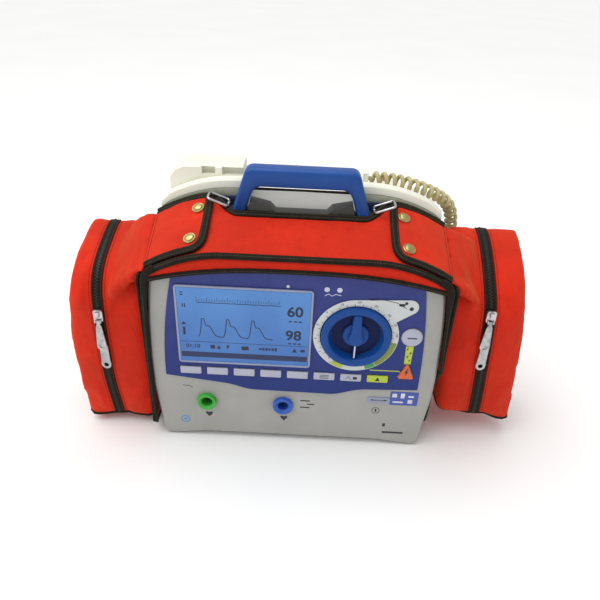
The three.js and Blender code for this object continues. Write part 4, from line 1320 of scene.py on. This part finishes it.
POLISHED = [
    ("front_housing", HOUSING, "root", "housing_plastic", 1.4),
    ("rear_housing", HOUSING, "root", "housing_plastic", 1.4),
    ("front_foot", RUBBER, "root", "black_rubber", 1.2),
    ("rear_foot", RUBBER, "root", "black_rubber", 1.2),
    ("display_frame", FRAME_GREY, "root", "light_plastic", 0.5),
    ("dial_ring", SCALE, "root", "light_plastic", 0.4),
    ("round_button", PALE, "round_button", "light_plastic", 0.9),
    ("shock_button", ORANGE, "shock_button", "orange_plastic", 0.7),
    ("handle_base", DARK, "root", "dark_plastic", 1.2),
    ("carry_handle", HANDLE_BLUE, "root", "blue_plastic", 3.6),
    *[(f"key_{i}", PALE, f"key_{i}", "light_plastic", 0.8) for i in range(1, 8)],
    ("key_8", LIME, "key_8", "yellow_green_plastic", 0.8),
    *[(f"{w}_paddle_tray", NAVY, "root", "navy_plastic", 1.0) for w in POUCHES],
    *[(f"{w}_paddle_base", RIM, f"{w}_paddle", "rim_plastic", 1.5) for w in POUCHES],
    *[(f"{w}_paddle_cover", CREAM, f"{w}_paddle", "cream_plastic", 1.8) for w in POUCHES],
    *[(f"{w}_paddle_button", ORANGE, f"{w}_paddle_button", "orange_plastic", 0.6) for w in POUCHES],
    *[(f"{w}_zip_slider", CHROME, f"{w}_zip_slider", "chrome", 0.5) for w in POUCHES],
    *[(f"{w}_zip_pull", STEEL, f"{w}_zip_pull", "chrome", 0.35) for w in POUCHES],
]


def make_ring(word, side):
    """A bent-wire ring, its wire round, with the seam where its ends meet."""
    low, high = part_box(f"{word}_strap_ring")
    run = Vector((side * (high.x - low.x), 0, high.z - low.z - 2.8 * MM))
    along = run.normalized()
    middle = (low + high) / 2
    half_long = run.length / 2 - 2.2 * MM
    half_wide = (high.y - low.y) / 2 - 1.5 * MM
    corner = 3.6 * MM
    path = []
    for i, (a, b) in enumerate(((1, 1), (-1, 1), (-1, -1), (1, -1))):
        for step in range(7):
            angle = math.pi / 2 * (i + step / 6)
            u = a * (half_long - corner) + corner * math.cos(angle)
            v = b * (half_wide - corner) + corner * math.sin(angle)
            path.append(middle + along * u + Vector((0, v, 0)))
    up = along.cross(Vector((0, 1, 0))).normalized()
    form = Form().sweep(path, [up] * len(path), oval(2.9, 2.9, 12, 2.0), closed=True)
    weld = middle - along * half_long
    sleeve = [(0, 0), (1.4, 0), (1.75, 0.5), (1.75, 3.9), (1.4, 4.4), (0, 4.4)]
    form.turn(weld - Vector((0, 2.2 * MM, 0)), sleeve, 20, Vector((0, 1, 0)))
    make_piece(f"{word}_wire_ring", form.mesh("ring"), CHROME, f"{word}_strap_ring",
               f"{word}_strap_ring")
    anchor = node_box(f"{word}_strap_ring")
    x = (anchor[0].x if side > 0 else anchor[1].x) - side * 5.5
    tab = [(x - 3, 291.6), (x + 3, 291.6), (x + 3, 294.2), (x + 2.2, 295), (x - 2.2, 295), (x - 3, 294.2)]
    form = Form().slab(tab, 84.2, 92)
    make_piece(f"{word}_ring_clip", form.mesh("clip"), STEEL, "root", bevel=0.5)


def make_knob():
    """The dial's rim, its sunk dish, the grip bar across it and the pointer line."""
    low, high = node_box("rotary_knob")
    front = low.y
    at = place(DIAL.x, 0, DIAL.z)
    profile = [(0, -high.y + 0.02), (40.3, -high.y + 0.02), (40.5, -high.y + 0.6), (40.5, -front - 1.6),
               (40.0, -front - 0.5), (38.9, -front), (33.4, -front), (32.2, -front - 0.7),
               (31.2, -front - 2.4), (30.2, -front - 9.2), (29.0, -front - 10.6), (0, -front - 10.9)]
    form = Form().turn(at, profile, 120)
    make_piece("knob_rim", form.mesh("knob_rim"), KNOB_BLUE, "rotary_knob", "rotary_knob")
    profile = [(0, -front - 10.85), (28.6, -front - 10.5), (28.6, -front - 9.9), (0, -front - 10.0)]
    floor = Form().turn(at, profile, 96)
    make_piece("knob_dish", floor.mesh("knob_dish"), KNOB_DEEP, "rotary_knob")
    profile = [(0, -front - 10.4), (15.2, -front - 10.4), (15.2, -front - 7.6), (14.2, -front - 6.6),
               (11.6, -front - 6.3), (0, -front - 6.3)]
    hub = Form().turn(at, profile, 72)
    make_piece("knob_hub", hub.mesh("knob_hub"), KNOB_BLUE, "rotary_knob")
    grip = Form()
    half = [(4.4, 31.0), (5.2, 20), (6.4, 6), (8.6, -1), (8.8, -5), (6.4, -9.5), (2.4, -11.5)]
    outline = [(DIAL.x + x, DIAL.z + z) for x, z in half]
    outline += [(DIAL.x - x, DIAL.z + z) for x, z in reversed(half)]
    grip.slab(outline, front + 0.6, front + 10.2)
    make_piece("knob_grip", grip.mesh("knob_grip"), KNOB_BLUE, "rotary_knob", bevel=1.6)
    outline = [(DIAL.x + x, DIAL.z + z) for x, z in ((2.6, -9), (1.9, -30.6), (-1.9, -30.6), (-2.6, -9))]
    tail = Form().slab(outline, front + 3.2, front + 10.4)
    make_piece("knob_tail", tail.mesh("knob_tail"), KNOB_DEEP, "rotary_knob", bevel=0.7)
    pointer = bar((DIAL.x, DIAL.z - 12.5), (DIAL.x, DIAL.z - 29.5), 1.7)
    mark = Form().slab(pointer, front + 3.0, front + 3.4)
    make_piece("knob_marks", mark.mesh("knob_marks"), WHITE_INK, "rotary_knob")


def make_socket(node_name, ring, pins):
    low, high = node_box(node_name)
    middle = (low + high) / 2
    radius = (high.x - low.x) / 2
    at = place(middle.x, 0, middle.z)
    front = -low.y
    bore = 7.0 if node_name == "ecg_socket" else 6.5
    profile = [(bore, -high.y), (radius - 4, -high.y), (radius - 4, -0.3), (radius, -0.3),
               (radius, front - 1.4), (radius - 0.5, front - 0.4), (radius - 1.4, front),
               (radius - 2.6, front), (radius - 3.2, front - 0.6), (bore + 0.5, front - 1.8),
               (bore, front - 2.4), (bore, -high.y)]
    form = Form().turn(at, profile, 64)
    make_piece(f"{node_name}_ring", form.mesh("socket"), ring, "root", node_name)
    profile = [(0, -11.0), (bore - 0.2, -11.0), (bore - 0.2, -9.6), (bore - 1.0, -9.2), (0, -9.2)]
    inside = Form().turn(at, profile, 48)
    make_piece(f"{node_name}_insert", inside.mesh("insert"), SOCKET_SHADOW, "root")
    brass = Form()
    for i in range(pins):
        angle = 2 * math.pi * i / pins
        spot = place(middle.x + 3.9 * math.sin(angle), 0, middle.z + 3.9 * math.cos(angle))
        brass.turn(spot, [(0, -9.6), (0.75, -9.6), (0.75, -5.0), (0.45, -4.3), (0, -4.2)], 12)
    brass.turn(at, [(0, -9.6), (1.1, -9.6), (1.1, -4.8), (0.7, -4.2), (0, -4.1)], 14)
    make_piece(f"{node_name}_pins", brass.mesh("pins"), BRASS, "root")


def make_card_slot():
    low, high = node_box("card_slot")
    middle = (low + high) / 2
    polish("card_slot", "card_slot_frame", FRAME_GREY, "root", 0.3)
    # Painted shade: a flat black sheet fills the slot and its round finger scoops, standing in for the shade
    # inside them.
    painted_shade = Form().slab(rounded_box(middle.x, middle.z, 20, 3.0, 1.4), 0.02, 0.5)
    for side in (-1, 1):
        painted_shade.slab(circle(middle.x + side * 9.5, middle.z, 2.4, 24), 0.0, 0.5)
    make_piece("card_slot_groove", painted_shade.mesh("painted_shade"), INK, "root")


def make_back_snaps():
    """Four snaps near the corners of the bag's back panel."""
    profile = [(0, 0), (3.6, 0), (3.6, 0.5), (3.0, 1.1), (1.2, 1.4), (1.0, 0.7), (0, 0.7)]
    form = Form()
    for x in (-140, 140):
        for z in (34, 214):
            form.turn(place(x, 157.6, z), profile, 24, Vector((0, 1, 0)))
    make_piece("back_snaps", form.mesh("snaps"), BRASS, "root")


def ink(form, outline, face, high=INK_HIGH):
    form.slab(outline, face - high, face + INK_SUNK)


def clock(radius, angle):
    turn = math.radians(angle)
    return DIAL.x + radius * math.sin(turn), DIAL.z + radius * math.cos(turn)


def make_dial_scale():
    dark = Form()
    for i in range(25):
        angle = -150 + 12 * i
        if 92 < angle < 150:
            continue
        inner = 42.4 if i % 2 else 41.9
        ink(dark, bar(clock(inner, angle), clock(44.4, angle), 0.6), RING_FACE)
    values = {-144: "1", -120: "2", -96: "3", -72: "5", -48: "7", -24: "10", 0: "20", 24: "30", 48: "50",
              66: "70", 84: "100"}
    for angle, text in values.items():
        x, z = clock(46.9, angle)
        numerals(dark, text, 4.2, x, z, RING_FACE - DIGITS_PROUD, angle)
    ink(dark, line_band([(81, 222), (96, 223.5), (112, 220), (123, 213)], 0.7), RING_FACE)
    ink(dark, rounded_box(117.5, 217.5, 7, 3.4, 1.2), RING_FACE)
    ink(dark, circle(128.5, 213, 2.4), RING_FACE)
    ink(dark, circle(122, 220, 1.9), RING_FACE)
    make_piece("dial_ink", dark.mesh("dial_ink"), INK, "root")
    for name, material, start, end in (("olive", OLIVE_INK, 98, 146), ("green", GREEN_INK, 147, 162),
                                       ("lime", LIME_INK, 196, 214)):
        form = Form()
        ink(form, arc_band(DIAL.x, DIAL.z, 42.0, 48.6, start, end), RING_FACE)
        make_piece(f"dial_{name}_band", form.mesh(name), material, "root")


def ring_line(x, z, radius, width):
    """A thin ring, as the outline of a line that comes back to its start."""
    points = [(x + radius * math.sin(a), z + radius * math.cos(a)) for a in spread(0, 2 * math.pi, 41)]
    return line_band(points, width)


def make_panel_ink():
    face = MEMBRANE_FACE
    pale = Form()
    for x in (33, 47):
        ink(pale, circle(x, 232, 3.0), face)
    ink(pale, line_band([(31, 224), (35, 226.5), (39, 224), (43, 226.5), (49, 225)], 0.8), face)
    ink(pale, rounded_box(-10, 233.5, 3.4, 3.4, 1.6), face)
    make_piece("panel_pale_ink", pale.mesh("pale"), WHITE_INK, "root")
    lime = Form()
    ink(lime, [(129.6, 160.5), (138.6, 160.5), (138.2, 134.5), (130.6, 134.5)], face)
    ink(lime, line_band([(91, 123), (126, 123), (128, 121.5), (128, 117)], 1.3), face)
    make_piece("panel_lime_ink", lime.mesh("lime"), LIME_INK, "root")
    bolts = Form()
    for x, z in ((132, 156.5), (136, 151), (133, 145.5), (136, 140)):
        bolts.slab([(x + 0.8, z + 2.6), (x - 1.5, z - 0.4), (x - 0.1, z - 0.4), (x - 0.9, z - 3.0),
                    (x + 1.5, z + 0.4), (x + 0.2, z + 0.4)], face - 0.18, face - 0.08)
    make_piece("panel_bolts", bolts.mesh("bolts"), INK, "root")
    dark = Form()
    for x, z in ((-105, 38), (-10, 37)):
        ink(dark, [(x - 4.6, z + 3.2), (x - 2.6, z + 4.4), (x, z + 3.0), (x + 2.6, z + 4.4),
                   (x + 4.6, z + 3.2), (x + 3.8, z + 0.4), (x, z - 4.0), (x - 3.8, z + 0.4)], 0.0)
    ink(dark, line_band([(-136, 84), (-128, 84), (-124, 81)], 0.9), 0.0)
    ink(dark, rounded_box(130.5, 21.5, 27, 3.0, 0.6), 0.0)
    ink(dark, rounded_box(118, 34, 3.6, 5.4, 0.6), 0.0)
    for i in range(3):
        ink(dark, rounded_box(16 + 7 * (i % 2), 68 - 5.4 * i, 12 - 3 * (i % 2), 1.8, 0.5), 0.0)
    ink(dark, ring_line(105, 58, 4.6, 0.8), 0.0)
    ink(dark, rounded_box(105, 58, 2.2, 5, 1.0), 0.0)
    make_piece("housing_dark_ink", dark.mesh("dark"), INK, "root")
    sky = Form()
    ink(sky, ring_line(-136, 28, 5.2, 1.5), 0.0)
    ink(sky, circle(-136, 28, 2.0), 0.0)
    make_piece("housing_sky_ink", sky.mesh("sky"), SKY_INK, "root")
    label = Form()
    ink(label, rounded_box(138, 79.5, 35, 22, 2.0), 0.0, 0.12)
    make_piece("housing_label", label.mesh("label"), BLUE_INK, "root")
    marks = Form()
    for x, z, wide, tall in ((126, 84, 6, 6), (136, 84, 5, 8), (146.5, 83, 7, 3), (131, 73.5, 13, 2.4),
                             (146, 75, 6, 6)):
        marks.slab(rounded_box(x, z, wide, tall, 1.0), -0.24, -0.1)
    make_piece("housing_label_marks", marks.mesh("marks"), WHITE_INK, "root")


def make_key_ink():
    for i, node_name in ((6, "key_6"), (7, "key_7"), (8, "key_8")):
        middle = node_middle(node_name)
        face = node_box(node_name)[0].y
        form = Form()
        if i == 6:
            for step in (-2.2, 0, 2.2):
                ink(form, rounded_box(middle.x, middle.z + step, 11, 0.9, 0.3), face, KEY_INK_HIGH)
        elif i == 7:
            ink(form, line_band([(middle.x - 6, middle.z - 2.4), (middle.x - 3, middle.z + 2.4),
                                 (middle.x, middle.z - 2.4)], 0.9), face, KEY_INK_HIGH)
            ink(form, rounded_box(middle.x + 5, middle.z, 5, 4.2, 1.2), face, KEY_INK_HIGH)
        else:
            triangle = [(middle.x - 3.2, middle.z - 2.6), (middle.x + 3.2, middle.z - 2.6),
                        (middle.x, middle.z + 3)]
            ink(form, triangle, face, KEY_INK_HIGH)
        make_piece(f"{node_name}_ink", form.mesh("key_ink"), INK, node_name)
    middle = node_middle("shock_button")
    face = node_box("shock_button")[0].y
    bolt = Form()
    zigzag = ((0.8, 5.6), (-2.6, -1.2), (-0.3, -1.2), (-1.4, -6.4), (2.4, 0.6), (0.2, 0.6), (2.2, 5.0))
    ink(bolt, [(middle.x + x, middle.z + z) for x, z in zigzag], face, KEY_INK_HIGH)
    make_piece("shock_bolt", bolt.mesh("bolt"), INK, "shock_button")
    middle = node_middle("round_button")
    face = node_box("round_button")[0].y
    form = Form()
    ink(form, rounded_box(middle.x, middle.z, 11, 1.6, 0.5), face, KEY_INK_HIGH)
    make_piece("round_button_ink", form.mesh("ink"), INK, "round_button")


# The display's rows and its pulse wave.
TRACE_LEFT = -112
TRACE_ROW = 208.5
STATUS_ROW = 147.6
WAVE_FOOT = 162
WAVE_HIGH = 25
BEAT_WIDE = 28.6


def pulse(t):
    """One heartbeat in a pressure trace: a steep rise, a slow fall and a small second wave."""
    rise = math.exp(-((t - 0.2) / 0.09) ** 2)
    fall = 0.62 * math.exp(-((t - 0.42) / 0.2) ** 2)
    return min(1.0, rise + fall)


def make_display_ink():
    face = GLASS_FACE
    form = Form()
    trace = [(x, TRACE_ROW + (0.5 if int(x) % 14 < 2 else 0)) for x in spread(TRACE_LEFT, -17, 96)]
    ink(form, line_band(trace, 0.8), face)
    for i in range(33):
        x = TRACE_LEFT + 2.9 * i
        ink(form, bar((x, 210.2), (x, 213.0 if i % 4 else 215.2), 0.45), face)
    wave = []
    for x in spread(TRACE_LEFT, -26, 170):
        t = ((x - TRACE_LEFT) / BEAT_WIDE) % 1.0
        wave.append((x, WAVE_FOOT + WAVE_HIGH * pulse(t)))
    ink(form, line_band(wave, 1.0), face)
    numerals(form, "60", 18.5, -1, 201, face - DIGITS_PROUD, bold=0.45)
    numerals(form, "98", 18.5, -2, 168.5, face - DIGITS_PROUD, bold=0.45)
    for z in (188.5, 157.5):
        for x in (-6, 0, 5):
            ink(form, rounded_box(x, z, 3.6, 1.8, 0.4), face)
    ink(form, rounded_box(-128, 204, 1.1, 5, 0.3), face)
    ink(form, rounded_box(-125.5, 204, 1.1, 5, 0.3), face)
    ink(form, rounded_box(-128, 169, 2.6, 11, 0.6), face)
    ink(form, [(-131, 178), (-125, 178), (-128, 182)], face)
    ink(form, rounded_box(-128.5, 221, 3.4, 1.4, 0.3), face)
    ink(form, rounded_box(-128.5, 218, 3.4, 1.4, 0.3), face)
    ink(form, rounded_box(-59, 154.2, 148, 0.5, 0.1), face)
    numerals(form, "01:10", 7.4, -119, STATUS_ROW, face - DIGITS_PROUD, bold=0.15)
    ink(form, rounded_box(-96, STATUS_ROW, 5.4, 5.4, 0.8), face)
    ink(form, [(-91, 145.2), (-89, 150.6), (-86, 145.2)], face)
    ink(form, [(-80, 150.6), (-76, 150.6), (-78.6, 144.6)], face)
    ink(form, rounded_box(-58, STATUS_ROW, 8.4, 5.4, 0.6), face)
    for i in range(6):
        ink(form, rounded_box(-40 + 3.6 * i, STATUS_ROW, 2.6, 3.0 + (i % 3) * 0.8, 0.3), face)
    ink(form, [(-3, 145.2), (3, 145.2), (0, 150.4)], face)
    ink(form, rounded_box(9.5, STATUS_ROW, 5.4, 3.4, 0.8), face)
    make_piece("display_ink", form.mesh("display_ink"), SCREEN_INK, "root")
    strip = Form()
    strip.slab(rounded_box(-59, 135.6, 148.4, 7.6, 0.3), face - 0.05, face + 0.05)
    make_piece("display_strip", strip.mesh("strip"), STRIP_INK, "root")


for node_name, material, body, slot, bevel in POLISHED:
    polish(node_name, f"{node_name}_finished", material, body, bevel)
for name, side in (("left", -1), ("right", 1)):
    make_ring(name, side)
    coat(f"{name}_paddle_electrode", STEEL)
make_knob()
make_socket("ecg_socket", SOCKET_GREEN, 6)
make_socket("oximeter_socket", SOCKET_BLUE, 5)
make_card_slot()
make_back_snaps()
make_dial_scale()
make_panel_ink()
make_key_ink()
make_display_ink()
coat("front_membrane", MEMBRANE)
coat("display_glass", SCREEN)
coat("knob_shaft", STEEL)
coat("main_circuit_board", BOARD)
coat("battery_pack", DARK)
coat("shock_capacitor", CAN)

# ---- light, floor and world ----


def area_light(name, place_at, target, size, power, colour=(1, 1, 1)):
    data = bpy.data.lights.new(name, "AREA")
    data.shape = "RECTANGLE"
    data.size, data.size_y = size
    data.energy = power
    data.color = colour
    lamp = bpy.data.objects.new(name, data)
    lamp.location = place_at
    lamp.rotation_euler = (Vector(target) - Vector(place_at)).to_track_quat("-Z", "Y").to_euler()
    scene.collection.objects.link(lamp)


FLOOR_HALF = 14.0
LAMP_TARGET = (0, 0, 0.15)


def make_studio():
    form = Form()
    half = FLOOR_HALF
    corners = [Vector((x, y, 0.0)) for x, y in ((-half, -half), (half, -half), (half, half), (-half, half))]
    form.add(corners, [(0, 1, 2, 3)])
    floor = bpy.data.objects.new("floor", form.mesh("floor"))
    scene.collection.objects.link(floor)
    floor.data.materials.append(table_top("table"))
    area_light("overhead", (-0.3, 0.3, 1.9), LAMP_TARGET, (2.2, 1.6), 9)
    area_light("front_left", (-1.6, -1.7, 1.3), LAMP_TARGET, (1.0, 1.0), 3.5)
    sun = bpy.data.lights.new("skylight", "SUN")
    sun.energy = 1.5
    sun.angle = math.radians(60)
    lamp = bpy.data.objects.new("skylight", sun)
    lamp.rotation_euler = Vector((0.45, 0.12, -1.0)).to_track_quat("-Z", "Y").to_euler()
    scene.collection.objects.link(lamp)
    world = bpy.data.worlds.new("studio")
    world.use_nodes = True
    background = world.node_tree.nodes["Background"]
    background.inputs["Color"].default_value = (1.0, 1.0, 1.0, 1.0)
    background.inputs["Strength"].default_value = 0.6
    scene.world = world


make_studio()
